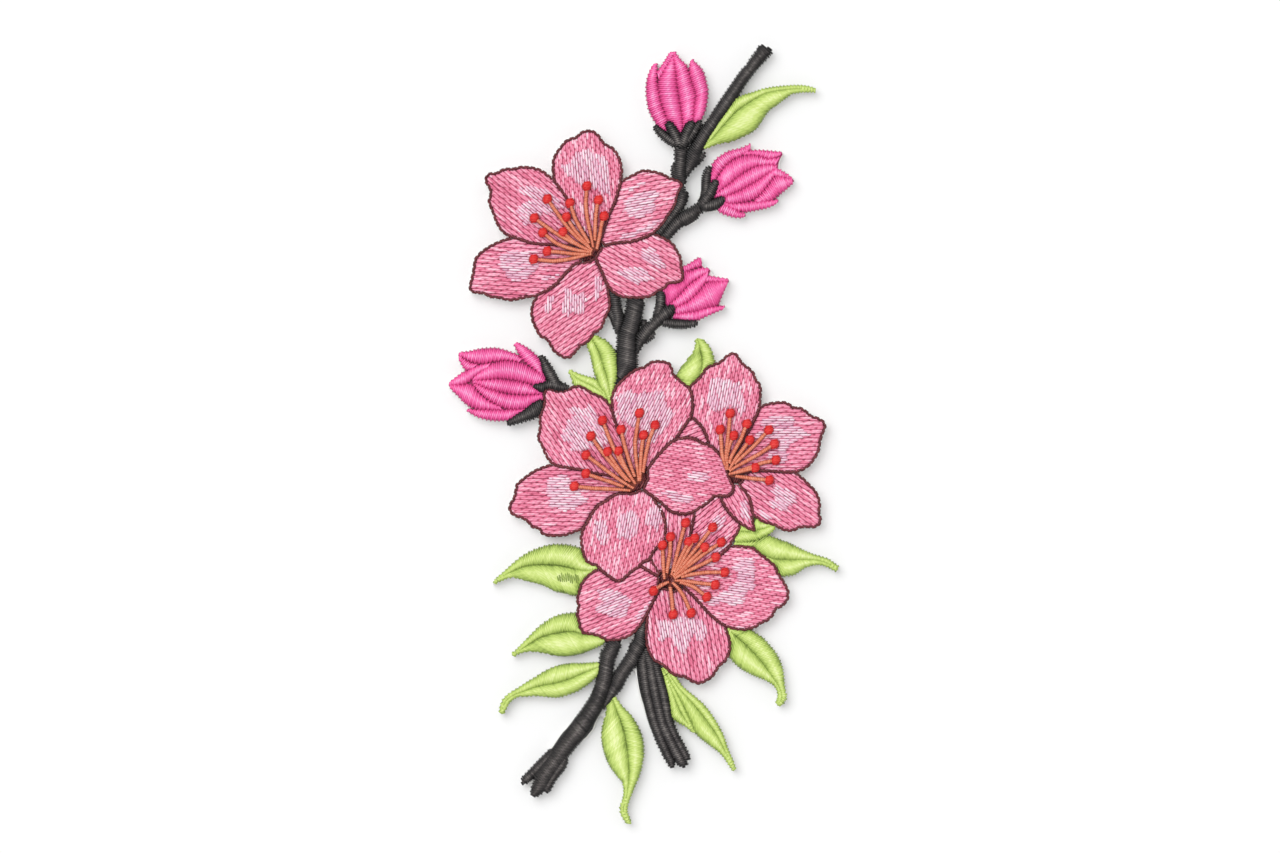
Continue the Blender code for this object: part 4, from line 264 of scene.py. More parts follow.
# Each bud is satin lobes, with a ; between them: two rails that start at the same end.
LOBES = {
    "bud_top": """2.3,74 1.9,73.5 1.5,72.7 1.1,71.7 0.8,70.5 0.7,69.2 0.7,67.8 0.9,66.4 1.1,65.1
    1.6,63.9 2.2,62.8 2.8,62 3.4,61.3 4.2,60.8 4.8,60.3 / 2.7,74 2.7,73 2.8,72.3 2.7,71 2.9,69.6
    3.2,68 3.5,66.5 4,65 4.6,63.5 5.1,62.4 5.6,60.4; 5.6,76.4 5.2,75.8 4.8,75.1 4.2,74.2 3.7,73.4
    3.2,72.8 2.9,72.3 / 6.1,76 5.9,75.2 5.2,74.2 4.4,73 3.7,71.8 3.1,70.9 2.9,70.4; 5.95,75.4 5.2,74.2
    4.4,73 3.7,71.8 3.1,70.8 2.9,69.6 3.2,68 3.5,66.5 4,65 4.6,63.5 5.1,62.4 6,60.2 / 6.15,75.3 6.3,74
    6.6,72 6.8,70 7.1,68 7.4,66 7.8,64 8,62 7.9,60; 6,76.4 6.2,75.2 6.3,74 6.6,72 6.8,70 7.1,68 7.4,66
    7.8,64 8,62 8,60 / 6.4,76.3 6.7,75.8 7.3,74.9 8,74.3 8.6,73.8 8.9,73.1 9.1,72.4 9.5,71 9.9,69.8
    10.4,68.6 10.6,67.2 10.3,66 10.2,64.8 10.1,63.5 10,62.2 9.4,60.4; 9.6,74.6 9.4,73.6 9.25,72.2
    9.5,71 9.9,69.8 10.4,68.6 10.6,67.2 10.3,66 10.2,64.8 10.1,63.5 10,62.2 9.6,60.6 / 9.9,74.8
    10.4,74.2 11,73.7 11.6,73.1 12.1,72.3 12.4,71.3 12.6,70.2 12.9,69.2 12.9,68 12.8,66.8 12.6,65.7
    12.4,64.7 12,63.8 11.6,63 11,62.2 10.2,61.2""",
    "bud_right": """13.4,49 13.4,51.2 13.4,52.3 13.5,53.2 13.9,54 14.4,54.7 14.9,55.2 15.7,55.7
    16.4,56.2 17.3,56.6 18.3,56.8 19.2,57 20,57.2 20.7,57.6 21.5,57.95 / 13.8,48.6 14.2,50.3 14.9,51.5
    15.6,52.6 16.3,53.6 17.2,54.4 18.2,55.1 19.4,55.6 20.3,56 21.1,56.5 21.5,57.7; 20.2,56.2 21.1,56.6
    22.2,56.65 23.4,56.7 24.6,56.6 25.8,56.5 26.9,56.35 27.8,56.3 / 20.2,55.9 21.5,55.9 23,55.8
    24,55.4 25,55 26.2,55.3 27.6,55.9; 13.8,48.6 14.2,50.2 15.2,51.7 16.2,53.3 17.4,54.5 19.4,55.6
    21.4,55.9 23,55.7 24.7,54.9 26,55.1 27.3,55.3 / 13.8,47.4 15.5,48.8 17.5,50.2 20,52.2 22.5,53.6
    25,54 26.2,53.8 26.9,53.7; 13.8,47.4 15.5,48.8 17.5,50.2 20,52.2 22.5,53.6 25,54 26.8,53.6 /
    14.4,46.8 16.4,47.5 18.2,48.2 20.5,49.3 23,50.8 25,52.2 26.7,53.3; 14.4,46.8 16.4,47.5 18.2,48.2
    20.5,49.3 23,50.8 25,52.2 26.7,53.2 / 14.6,46 16.3,46.2 18,46.1 20,46.3 22,46.9 23.5,47.9
    24.8,49.6 25.7,51 26.7,52.8; 22.2,46.6 23.5,47.9 24.8,49.6 25.7,51 26.2,51.6 27.2,51.5 28.5,51.3
    29.8,50.9 / 23.6,46.5 24.6,46.6 25.7,46.7 26.8,47.5 27.6,48.3 28.4,48.9 29.1,49.6 30.2,50.6;
    16.2,46.2 18,46 20,46.2 22,46.5 24,46.6 27.1,46.8 / 16.8,45.6 18.4,44.9 20.5,44.5 21.8,44.7 23,45
    24.2,45.2 25.2,45.5 26.2,46 27,46.4; 15,45.3 16.2,46.2 17.5,45.4 18.7,44.8 20.5,44 / 14.6,45
    16,44.1 17,43.8 18,43.5 19,43.4 20,43.4 20.6,43.6; 26,51.6 27.2,51.5 28.5,51.3 29.8,50.9 /
    26.6,53.1 27.7,52.6 28.5,52.1 29.2,51.6 30.1,50.7""",
    "bud_mid": """7,33 7.9,33.3 8.7,33.7 9.6,34.2 10.4,34.8 11.1,35.3 11.6,35.2 / 7.4,32.4 8,32.5
    9.5,32.9 10.6,33.5 11.7,33.4 11.6,34.9; 4,28.2 4.2,29.2 5,30.6 6,32 7.2,32.5 8,32.4 10,32.8
    11.7,33.3 13.3,33 / 4.4,25.2 5.8,26.4 7.5,28 8.6,29.3 9.5,30.2 10.6,31.1 11.5,31.6 12.3,32.2
    13.1,32.7; 4.4,25.2 5.8,26.4 7.5,28 9.5,30.2 11.5,31.6 13,32.6 / 5,24.4 6.3,25.2 9,26.5 11,28.3
    12.2,30 12.9,31.7; 12.6,31.6 13.9,31.5 14.8,31.3 15.8,31.1 16.7,31.1 17.2,30.7 / 12.6,30.6
    14.5,30.6 16,30.7 17.2,30.6; 5,24.4 6.3,25.2 9,26.5 11,28.3 12.2,30 12.9,30.6 14.5,30.6 16,30.7
    17,30.5 / 5.4,23.9 6.4,24 9,24.3 12,24.9 15,25.7 15.1,26.2 15.5,27.2 15.9,28.2 16.3,29.2 16.8,30;
    5.4,23.9 6.2,24 9,24.3 12,25 14,25.5 16.3,25.5 / 5.6,23.3 7,22.9 8,22.8 9,22.6 10,22.6 10.8,22.8
    11.8,23.3 12.8,23.8 13.8,24.2 14.8,24.7 15.7,25 16.4,25.4""",
    "bud_left": """-25.3,18.4 -24.2,17.8 -23.2,17.3 -22.4,16.7 -21.7,16.1 -21,15.4 -20.4,14.6
    -20.1,13.6 -20,12.4 -19.4,10.6 / -25.6,17.9 -24.6,15.8 -23.8,14.8 -22.8,13.9 -21.6,13.1 -20.2,12.1
    -19.4,10.8; -36.8,16.2 -35.8,16.4 -34.5,16.5 -33.3,16.9 -32,17.1 -30.5,17.2 -29.2,17.2 -28,16.9
    -26.8,16.5 -26,16.2 -25.2,15.9 -24.2,15 / -36.5,15.8 -35,14.9 -33.6,14.3 -32,14.1 -30,14.6
    -28,14.9 -26,14.8 -24.2,14.4; -36.8,15.8 -35.5,14.8 -34.3,14.2 -33,14 / -36.6,15 -35.9,13.5
    -35.3,12.8 -33.8,13.4; -33.9,11 -33,12.2 -31.4,13.4 -30,14.3 -28,14.8 -26,14.7 -24.2,14.3
    -22.8,13.6 -21.4,12.8 -20,12 -19.4,10.8 / -34,10.8 -32.5,10.9 -31,11 -29,11.1 -27,11.1 -25.5,10.8
    -24,10.5 -22.5,10.1 -21,9.95 -19.3,10; -38.7,10.2 -38.2,10.7 -37.2,11.4 -36.2,12.2 -35.2,12.8
    -33.5,13.6 -32,14 -30.4,14.2 / -38.6,9.9 -36.5,9.9 -35,10.3 -34.2,11.2 -33,12.2 -31,13.4; -34,10.7
    -32,10.9 -30,11 -28,11 -26,10.8 -24,10.4 -22.3,9.9 -21,9.7 -19.3,9.6 / -33.9,10.4 -32.5,9.8
    -31,9.2 -29.5,8.8 -28,8.4 -26,8 -24,8 -22,8 -19.6,8.1; -33.8,10.2 -32.5,9.7 -31,9.1 -29.5,8.7
    -28,8.2 -26,7.9 -24,7.9 -22,7.9 -19.6,8 / -33.7,9.9 -32.8,8.6 -31.8,7.6 -30.5,6.7 -29,5.8
    -27.5,5.2 -26,5 -24.5,5 -23,5.2 -21.8,6.1 -19.6,7; -38.7,9.9 -38,8.8 -36.8,7.7 -35.9,6.6 -34.6,5.6
    -33.3,5.1 -31.5,5 -29.5,5 -28.2,5.1 / -38.4,9.9 -36.5,9.9 -35,10.1 -34,9.9 -33,8.5 -31.9,7.4
    -30.6,6.5 -29.2,5.7 -28.2,5.2; -35.1,5 -33.5,4.9 -32,4.9 -30,4.9 -28,4.9 -26,4.9 -24.5,4.9
    -22.6,5.3 / -35,4.8 -33.7,3.9 -32.3,3.3 -30.5,2.9 -28.5,2.8 -26.8,3 -25.4,3.6 -23,4.8""",
}
# Dark satin columns, the upper ones last, with a ; between them: the stitches' longest reach: the spine.
SPINES = {
    "branch_upper": """0.9: 12.3,56.6 11.4,55.2 10.2,53.8; 2: 24.9,77.6 24.3,76.4 22.6,74.6 20.5,71.6
    18.4,68.5 16.3,65.3 14.2,62.3 12.2,59.3 10.6,56.9 9.4,54.4 8.6,52 8.2,50.6""",
    "branch_stalk": """0.9: 5.9,54.2 6.3,52.8 6.6,50.9; 0.9: 9,48.4 8.2,47 7.4,45; 1.5: 7.6,57.8
    7.5,54 7.4,51 7.6,49 7.4,47 6.6,45 5.2,43 3.9,41.3 2.9,40""",
    "branch_right": "0.8: 11.2,44.2 9.8,43.2 8.2,42.3; 1.5: 12,45.6 9.5,44 7.5,42.8 5.6,41 4.2,39",
    "branch_main": "2.6: -1.4,28 -2,25 -2.4,22.5 -2.9,20 -3.1,17 -3.2,14 -3.6,11.5 -4.8,9",
    "branch_twig": "0.9: -6.8,24.9 -5.8,23.6 -5.2,21.6; 1.3: -6.4,29.7 -5.6,27 -5.4,25 -5,23 -4.8,20",
    "branch_leg": """1.1: -18,-63.4 -20.6,-66 -24.4,-69.6; 1.1: -15.2,-64.6 -17.4,-67.8 -19.5,-71.4;
    2: -5.4,-40.2 -6.6,-43 -7.3,-46 -7.7,-49 -8.6,-52 -10.4,-55 -12.2,-58 -14.3,-60.8 -16.4,-63.6
    -18.6,-66.4 -20.6,-69.4 -21.8,-72.4""",
    "branch_middle": "2: 0.2,-36.6 -0.4,-40.5 -1.6,-43.2 -3.4,-46.4 -5.2,-49.4 -6.8,-52.2 -8.4,-55",
    "branch_bundle": """1.15: -0.2,-42 0,-46 0.6,-51 1.9,-56.4 3.7,-61.6 5.9,-66.6; 1.05: 2,-43.6
    3,-48 4.1,-52 4.9,-56.5 6.8,-60.6 9.2,-65; 1.15: 1,-42 1.7,-48 2.7,-53 3.9,-58 6.1,-62.5 8.2,-66.6""",
    "calyx_top": """1: 2,61.5 4.2,59.5 7,57.8; 1: 11.8,62.7 10.2,60.2 8,57.8; 1.1: 5,62.6 6,60.6
    7.2,58; 1.1: 9.9,62.7 8.8,60.4 7.7,57.2""",
    "calyx_right": """1: 13.4,53.6 12.6,51.4 12.6,48.8 12.2,46.6; 1.2: 16.4,46.8 14.2,45.9 11.2,45.4;
    1.2: 14.7,50.9 13.4,48.2 11.4,45.4""",
    "calyx_mid": """0.8: 0.4,23 0.5,21; 0.8: 2.5,20.3 0.3,18.7; 1: 3.5,28.6 3.5,26 2.6,23.4; 1:
    11,22.2 8,22 4,22.2; 1.3: 6.2,25.7 4.2,24 1.5,21.6 -0.5,19 -1.2,16.2""",
    "calyx_left": "1.2: -20.6,15.8 -18.9,12.8 -17.4,9.8; 1.3: -22,9.6 -19,9.7 -14.8,9.3",
    "sepal_left": "1.7: -27.2,2.2 -23.5,3.8 -20,5.8",
}


def lines(text):
    """The points, in the frame, of each of the lines listed in a text."""
    return [np.array([pair.split(",") for pair in part.split()], float) + MOVE for part in text.split("/")]


def loops_of(node):
    """The outline of a CAD pad's underside, in millimetres: one closed loop, and one for each hole."""
    mesh, low = frame["nodes"][node].data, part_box(node)[0].z
    spot = [tuple(round(v.co[k] * 1e6) for k in (0, 1)) for v in mesh.vertices]
    runs = set()
    for face in mesh.polygons:
        ids = list(face.vertices)
        if all(mesh.vertices[i].co.z < low + 1e-5 for i in ids):
            runs |= {(spot[ids[k - 1]], spot[ids[k]]) for k in range(len(ids))}
    after = {a: b for a, b in sorted(runs) if (b, a) not in runs}
    loops = []
    while after:
        start, at = next(iter(after.items()))
        ring = [start]
        del after[start]
        while at != start:
            ring.append(at)
            at = after.pop(at)
        loops.append(np.array(ring, float) / 1000)
    return loops


def unit(ways):
    """The directions at length 1."""
    return ways / np.hypot(*ways.T)[:, None]


def grown(loops, by):
    """The loops with their edge moved outwards, to close the seam with the piece above."""
    found = []
    for ring in loops:
        way = unit(np.roll(ring, -1, 0) - ring) + unit(ring - np.roll(ring, 1, 0))
        way /= np.maximum(np.hypot(*way.T), 0.3)[:, None]
        found.append(ring + by * np.column_stack([-way[:, 1], way[:, 0]]))
    return found


def distances(points):
    """How far along a line each of its points is."""
    return np.concatenate([[0], np.cumsum(np.hypot(*np.diff(points, axis=0).T))])


def evenly(points, step, closed=False):
    """Points at equal steps along a line."""
    if closed:
        points = np.vstack([points, points[:1]])
    far = distances(points)
    count = max(2, int(round(far[-1] / step)) + 1)
    at = np.linspace(0, far[-1], count)
    found = np.stack([np.interp(at, far, points[:, k]) for k in (0, 1)], 1)
    return found[:-1] if closed else found


def rounded(points, step=0.25, rounds=5):
    """The line at even steps with its corners eased."""
    found = evenly(points, step)
    for _ in range(rounds):
        found[1:-1] = (found[:-2] + 2 * found[1:-1] + found[2:]) / 4
    return found


def along(points, share):
    """The points at these shares of a line's length."""
    far = distances(points)
    return np.stack([np.interp(np.clip(share, 0, 1) * far[-1], far, points[:, k]) for k in (0, 1)], -1)


def length(points):
    return np.hypot(*np.diff(points, axis=0).T).sum()


def shares(count):
    """The middles of this many equal parts of a whole."""
    return (np.arange(count) + 0.5) / count


def steps(points, pitch, look):
    """Places at even steps along a line, each with the line's direction over this far to both sides."""
    size = length(points)
    share = shares(max(3, int(size / pitch)))
    ahead = along(points, share + look / size) - along(points, share - look / size)
    return [(p, f / max(np.hypot(*f), 1e-9)) for p, f in zip(along(points, share), ahead)]


def turned(f, degrees):
    """The direction f, turned counterclockwise."""
    turn = math.radians(degrees)
    c, s = math.cos(turn), math.sin(turn)
    return np.array([f[0] * c - f[1] * s, f[0] * s + f[1] * c])


def axes(degrees):
    """The direction at this angle, and the one square to it."""
    turn = math.radians(degrees)
    return np.array([math.cos(turn), math.sin(turn)]), np.array([-math.sin(turn), math.cos(turn)])


def clear_of(points, loops):
    """Distance from each point to the nearest side of the loops."""
    a = np.vstack(loops)
    b = np.vstack([np.roll(ring, -1, 0) for ring in loops])
    flat = points.reshape(-1, 2)
    d = b - a
    t = ((flat[:, None] - a) * d).sum(-1) / np.maximum((d * d).sum(-1), 1e-12)
    off = flat[:, None] - a - np.clip(t, 0, 1)[..., None] * d
    return np.hypot(*np.moveaxis(off, -1, 0)).min(1).reshape(points.shape[:-1])


def spans(p, d, loops):
    """Where a line from p in direction d runs inside the loops, as pairs of distances."""
    hits = []
    for ring in loops:
        a = ring - p
        b = np.roll(a, -1, 0)
        left, right = d[0] * a[:, 1] - d[1] * a[:, 0], d[0] * b[:, 1] - d[1] * b[:, 0]
        meets = (left > 0) != (right > 0)
        share = left[meets] / (left[meets] - right[meets])
        hits += list((a[meets] + (b[meets] - a[meets]) * share[:, None]) @ d)
    hits.sort()
    return list(zip(hits[::2], hits[1::2]))


def dome(d, reach):
    """A quarter round from 0 at the edge to 1 at this reach."""
    return np.sqrt(1 - (1 - np.clip(d / reach, 0, 1)) ** 2)


class Strands:
    """Stitches of one thread: centrelines, radii, tones, which carry painted shade and highlight, and which
    side lies by a deeper groove, where painted shade darkens it.
    """

    def __init__(self, kind=""):
        self.sets = {}
        self.kind = kind

    def add(self, xy, z, radius, tone, lean=0.0):
        path = np.column_stack([xy, z])
        n = len(path)
        held = self.sets.setdefault(n, ([], [], [], []))
        held[0].append(path)
        held[1].append(np.full(n, radius))
        held[2].append(np.broadcast_to(np.asarray(tone, float), (n,)))
        held[3].append(lean)


def fill(strands, loops, degrees, row_step, stitch, low, rise, reach, radius, pair=0.0, ragged=0.0,
        painted_glint=0.0, within=None):
    """Rows of running stitches across the loops. pair sets the two rows of a pair closer together, and then
    each thread gets painted shade on its side by the wider groove.
    """
    d, n = axes(degrees)
    ends = np.vstack(loops) @ n
    t = np.linspace(0, 1, 6)
    hump = np.sin(math.pi * t) ** 0.6
    row = math.ceil(ends.min() / row_step)
    while row * row_step < ends.max():
        offset = row * row_step + (pair if row % 2 else -pair)
        lean = 0.0 if not pair else (-1.0 if row % 2 else 1.0)
        shift = (row * BRICK % 1.0 + rng.uniform(-0.06, 0.06)) * stitch
        for a, b in spans(offset * n, d, loops):
            a += rng.uniform(-ragged, ragged)
            b += rng.uniform(-ragged, ragged)
            if b - a < LEAST_RUN:
                continue
            first = math.ceil((a + LEAST_CUT - shift) / stitch)
            last = math.floor((b - LEAST_CUT - shift) / stitch)
            cuts = [a] + [shift + k * stitch for k in range(first, last + 1)] + [b]
            for s, e in zip(cuts, cuts[1:]):
                xy = offset * n + (s + (e - s) * t)[:, None] * d
                xy += n * rng.uniform(-0.03, 0.03)
                z = low + rise * dome(clear_of(xy, within or loops), reach) + 0.13 * hump - 0.1
                # one stitch in eight gets a painted glint; the rest is random tone
                glow = rng.normal(0, 0.1) + (painted_glint if rng.random() < 0.12 else 0.0)
                # painted highlight along each stitch's middle and painted shade at its ends, where it dips
                strands.add(xy, z, radius, 0.4 + 0.18 * hump + glow, lean)
        row += 1


def stitch_across(strands, a, b, outline, low, rise, glow, wide=None):
    """One satin stitch from a to b, rounded up over its pad. Its tone is painted shade at its ends, by the
    edges and creases, and painted highlight along its middle.
    """
    size = np.hypot(*(b - a))
    width = size if wide is None else wide
    t = np.linspace(0, 1, SATIN_POINTS)
    t = (1 - np.cos(math.pi * t)) / 2 * 0.6 + t * 0.4
    xy = a + (b - a) * t[:, None]
    d = np.minimum(np.minimum(t, 1 - t) * size, clear_of(xy, outline) + 0.12)
    swell = dome(d, max(0.3, min(width / 2, SATIN_REACH)))
    high = rise * min(1.0, 0.35 + 0.28 * width)
    # painted light: the tone rises from painted shade at the stitch's ends to a painted highlight in its
    # middle, brighter on wider columns
    middle = np.clip(d / max(0.3, min(width / 2, 2.2)), 0, 1)
    bright = 0.72 * min(1.0, 0.5 + 0.3 * width)
    strands.add(xy, low + high * swell, SATIN_THREAD, 0.02 + bright * middle**0.9 + glow)
    BACK[strands.kind].append((a, b))


def glow_at(x, y):
    """Slow change of tone over the cloth, and a little from stitch to stitch."""
    return 0.09 * noise.noise(Vector((x * 0.35, y * 0.35, 3.0))) + rng.normal(0, 0.045)


def out_by(i):
    """How far a satin stitch's end stands out: every other one more, which gives the edge its teeth."""
    return TEETH * (1 if i % 2 else 0.1) + 0.05


def inside(p, d, outline, most):
    """The span of the outline that a stitch from p along d fills, or None."""
    for a, b in spans(p, d, outline):
        if b > 0 and a < most * 0.7:
            return max(a, 0.0), min(b, most)
    return None


def satin_between(strands, rails, outline):
    """A satin column between the two rails of a bud's lobe, kept to the outline."""
    a, b = (rounded(rail) for rail in rails)
    size = (length(a) + length(b)) / 2
    share = shares(max(3, int(size / SATIN_PITCH)))
    for i, (p, q) in enumerate(zip(along(a, share), along(b, share + BUD_SLANT / size))):
        width = np.hypot(*(q - p))
        if width < 0.15:
            continue
        d = (q - p) / width
        out = out_by(i)
        for s, e in spans(p, d, outline):
            s, e = max(s - out, -out), min(e + out, width + out)
            if e - s > LEAST_SATIN:
                ends = p + d * s, p + d * e
                stitch_across(strands, *ends, outline, BUD_LOW, BUD_RISE, glow_at(*p), width)


def satin_along(strands, spine, most, outline, low):
    """A dark satin column across a spine, kept to the outline and to this far from the spine."""
    for i, (p, f) in enumerate(steps(rounded(spine, 0.2, 8), SATIN_PITCH, 0.6)):
        d = turned(f, 90 + DARK_SLANT)
        got = [(s, e) for s, e in spans(p, d, outline) if s < 0.25 and e > -0.25]
        if not got:
            continue
        s, e = max(got[0][0] - out_by(i), -most), min(got[0][1] + out_by(i), most)
        if e - s > LEAST_SATIN:
            stitch_across(strands, p + d * s, p + d * e, outline, low, DARK_RISE, glow_at(*p))


def lobes_from(strands, rib, outline):
    """Two satin lobes from a leaf's rib out to the outline, and one column where the leaf is narrow."""
    points = rounded(rib, 0.2, 8)
    ends = unit(points[[0, -1]] - points[[3, -4]])
    points = np.vstack([points[0] + ends[0] * 1.2, points, points[-1] + ends[1] * 1.2])
    was_narrow = False
    for i, (p, f) in enumerate(steps(points, LEAF_PITCH, 0.8)):
        found = []
        for side in (-1, 1):
            d = turned(f, side * (90 - LEAF_SLANT))
            got = inside(p, d, outline, LEAF_MOST)
            if got is not None and got[1] - got[0] > 0.2:
                found.append((p + d * (got[0] - LAP), p + d * (got[1] + out_by(i))))
        narrow = len(found) == 2 and sum(np.hypot(*(b - a)) for a, b in found) < TIP_WIDTH
        if narrow:
            found = ([] if was_narrow else found) + [(found[0][1], found[1][1])]
        was_narrow = narrow
        for a, b in found:
            if np.hypot(*(b - a)) > 0.3:
                stitch_across(strands, a, b, outline, LEAF_LOW, LEAF_RISE, glow_at(*p))


def border(strands, points, closed=False):
    """A border line: short stitches that overlap, each crossing the line one way or the other."""
    ring = np.vstack([points, points[:1]]) if closed else points
    size = length(ring)
    count = max(1, int(size / BORDER_STEP))
    t = np.linspace(0, 1, 5)
    hump = np.sin(math.pi * t)
    for i in range(count):
        s = (i + 0.5) * size / count - BORDER_STITCH / 2
        at = np.linspace(s, s + BORDER_STITCH, len(t)) / size
        xy = along(ring, at % 1.0 if closed else at)
        way = xy[-1] - xy[0]
        size_now = np.hypot(*way)
        if size_now < 0.4:
            continue
        side = np.array([-way[1], way[0]]) / size_now * (BORDER_CROSS if i % 2 else -BORDER_CROSS)
        cross = side * (1 - 2 * t)[:, None]
        z = BORDER_LOW + 0.14 * hump - 0.06 + 0.03 * (i % 2)
        # painted highlight on each stitch's middle, painted shade at its ends
        strands.add(xy + cross, z, BORDER_THREAD, 0.08 + 0.5 * hump + rng.normal(0, 0.06))


def placed(name, data):
    """A new object in the scene."""
    obj = bpy.data.objects.new(name, data)
    bpy.context.scene.collection.objects.link(obj)
    return obj


def tuned(node, values):
    for key, value in values.items():
        node.inputs[key].default_value = value


class Shape:
    """The points and faces of a mesh as they are put together."""

    def __init__(self):
        self.points, self.tones, self.corners, self.sizes, self.smooth, self.strand = ([] for _ in range(6))
        self.count = 0

    def add_points(self, points, tones):
        """Adds the points and returns the first one's number."""
        self.points.append(points)
        self.tones.append(tones)
        self.count += len(points)
        return self.count - len(points)

    def add_faces(self, corners, strand, smooth):
        """Adds one face for each row of corners. strand is each corner's place on the strand map."""
        self.corners.append(corners.reshape(-1))
        self.sizes.append(np.full(len(corners), corners.shape[1]))
        self.smooth.append(np.full(len(corners), smooth))
        self.strand.append(strand.reshape(-1, 2))

    def mesh(self, name):
        """The mesh, with its tones, a flat map seen from above and the map along the strands."""
        co, sizes = np.vstack(self.points), np.concatenate(self.sizes)
        corners = np.concatenate(self.corners)
        mesh = bpy.data.meshes.new(name)
        mesh.vertices.add(len(co))
        mesh.vertices.foreach_set("co", (co / 1000).astype(np.float32).ravel())
        mesh.loops.add(len(corners))
        mesh.loops.foreach_set("vertex_index", corners.astype(np.int32))
        mesh.polygons.add(len(sizes))
        mesh.polygons.foreach_set("loop_start", (np.cumsum(sizes) - sizes).astype(np.int32))
        mesh.polygons.foreach_set("use_smooth", np.concatenate(self.smooth))
        mesh.update(calc_edges=True)
        tone = mesh.attributes.new("tone", "FLOAT", "POINT")
        tone.data.foreach_set("value", np.concatenate(self.tones).astype(np.float32))
        low, high = co[:, :2].min(0), co[:, :2].max(0)
        flat = 0.01 + 0.98 * (co[corners, :2] - low) / (high - low)
        for map_name, uv in (("OFBake", flat), ("strand", np.vstack(self.strand))):
            layer = mesh.uv_layers.new(name=map_name, do_init=False)
            layer.uv.foreach_set("vector", uv.astype(np.float32).ravel())
        return mesh


def add_pad(shape, node, tone):
    """The padding under the stitches: the CAD pad, but lower, in a darker tone than the threads, painted
    shade where it shows between them.
    """
    source = frame["nodes"][node].data
    points = np.array([v.co for v in source.vertices]) * 1000
    points[:, 2] = SEAT - PAD_SINK + np.maximum(points[:, 2] - SEAT, 0) * PAD_SHARE
    shape.add_points(points, np.full(len(points), tone))
    for face in source.polygons:
        ids = list(face.vertices)
        shape.add_faces(np.array([ids]), points[ids, :2], False)


def add_tubes(shape, paths, radii, tones, leans):
    """Closed tubes round centrelines that all have the same number of points."""
    path, radius, shade, lean = (np.array(listed) for listed in (paths, radii, tones, leans))
    count, n = path.shape[:2]
    way = np.gradient(path, axis=1)
    way /= np.maximum(np.linalg.norm(way, axis=2, keepdims=True), 1e-9)
    side = np.cross((0.0, 0.0, 1.0), way)
    side /= np.maximum(np.linalg.norm(side, axis=2, keepdims=True), 1e-9)
    up = np.cross(way, side)
    angle = 2 * math.pi * shares(SIDES)
    taper = np.ones(n)
    taper[[0, -1]] = TAPER
    out = np.cos(angle)[:, None] * side[:, :, None] + SQUASH * np.sin(angle)[:, None] * up[:, :, None]
    ring = path[:, :, None] + (radius * taper)[:, :, None, None] * out
    # painted shade: a thread's facets on the side by the deeper groove are darkened
    painted_groove_shade = np.maximum(0, lean[:, None, None] * np.cos(angle)) * GROOVE_PAINTED_SHADE
    # painted light: the upper facets are made lighter and the lower ones darker
    tone = np.clip(shade[:, :, None] + 0.14 * np.sin(angle) - painted_groove_shade, 0, 1)
    first = shape.add_points(ring.reshape(-1, 3), tone.reshape(-1))
    number = first + np.arange(count * n * SIDES).reshape(count, n, SIDES)
    gaps = np.linalg.norm(np.diff(path, axis=1), axis=2)
    run = np.concatenate([np.zeros((count, 1)), np.cumsum(gaps, 1)], 1)
    run += rng.uniform(0, 50, (count, 1))
    for j in FACETS:
        k = (j + 1) % SIDES
        quads = np.stack([number[:, :-1, j], number[:, :-1, k], number[:, 1:, k], number[:, 1:, j]], -1)
        u = np.stack([run[:, :-1], run[:, :-1], run[:, 1:], run[:, 1:]], -1)
        v = np.broadcast_to(np.array([j, j + 1, j + 1, j]) / SIDES, u.shape)
        shape.add_faces(quads.reshape(-1, 4), np.stack([u, v], -1), True)
    for end, order in ((0, slice(None, None, -1)), (n - 1, slice(None))):
        caps = number[:, end][:, order]
        u = np.broadcast_to(run[:, end, None], caps.shape)
        v = np.broadcast_to(np.arange(SIDES)[order] / SIDES, caps.shape)
        shape.add_faces(caps, np.stack([u, v], -1), False)


def piece(name, strands, material, node=None, pad_tone=0.2):
    """Makes a piece of the strands, over the padding of the CAD pad that it replaces."""
    shape = Shape()
    if node:
        add_pad(shape, node, pad_tone)
    for held in strands.sets.values():
        add_tubes(shape, *held)
    mesh = shape.mesh(name)
    mesh.materials.append(material)
    obj = placed(name, mesh)
    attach(obj, "root")
    if node:
        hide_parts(node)


def srgb(*colour):
    shares_of_white = (c / 255 for c in colour)
    return tuple(c / 12.92 if c <= 0.04045 else ((c + 0.055) / 1.055) ** 2.4 for c in shares_of_white)


def wired(tree, kind, inputs, **settings):
    """A new node with its settings, and its inputs linked or set."""
    node = tree.nodes.new(kind)
    for key, value in settings.items():
        setattr(node, key, value)
    for key, value in inputs.items():
        if isinstance(value, bpy.types.NodeSocket):
            tree.links.new(value, node.inputs[key])
        else:
            tuned(node, {key: value})
    return node


def maths(tree, operation, *values):
    """The result of a Math node on these values and sockets."""
    return wired(tree, "ShaderNodeMath", dict(enumerate(values)), operation=operation).outputs[0]


def noise_at(tree, place, scale, detail, **inputs):
    wanted = {"Vector": place, "Scale": scale, "Detail": detail} | inputs
    return wired(tree, "ShaderNodeTexNoise", wanted).outputs["Fac"]


def coloured(tree, shader, value, stops):
    """Gives the shader a colour that runs through these stops as the value rises."""
    ramp = wired(tree, "ShaderNodeValToRGB", {"Fac": value})
    while len(ramp.color_ramp.elements) < len(stops):
        ramp.color_ramp.elements.new(0.5)
    for element, (place, *colour) in zip(ramp.color_ramp.elements, stops):
        element.position = place
        element.color = (*srgb(*colour), 1.0)
    tree.links.new(ramp.outputs["Color"], shader.inputs["Base Color"])


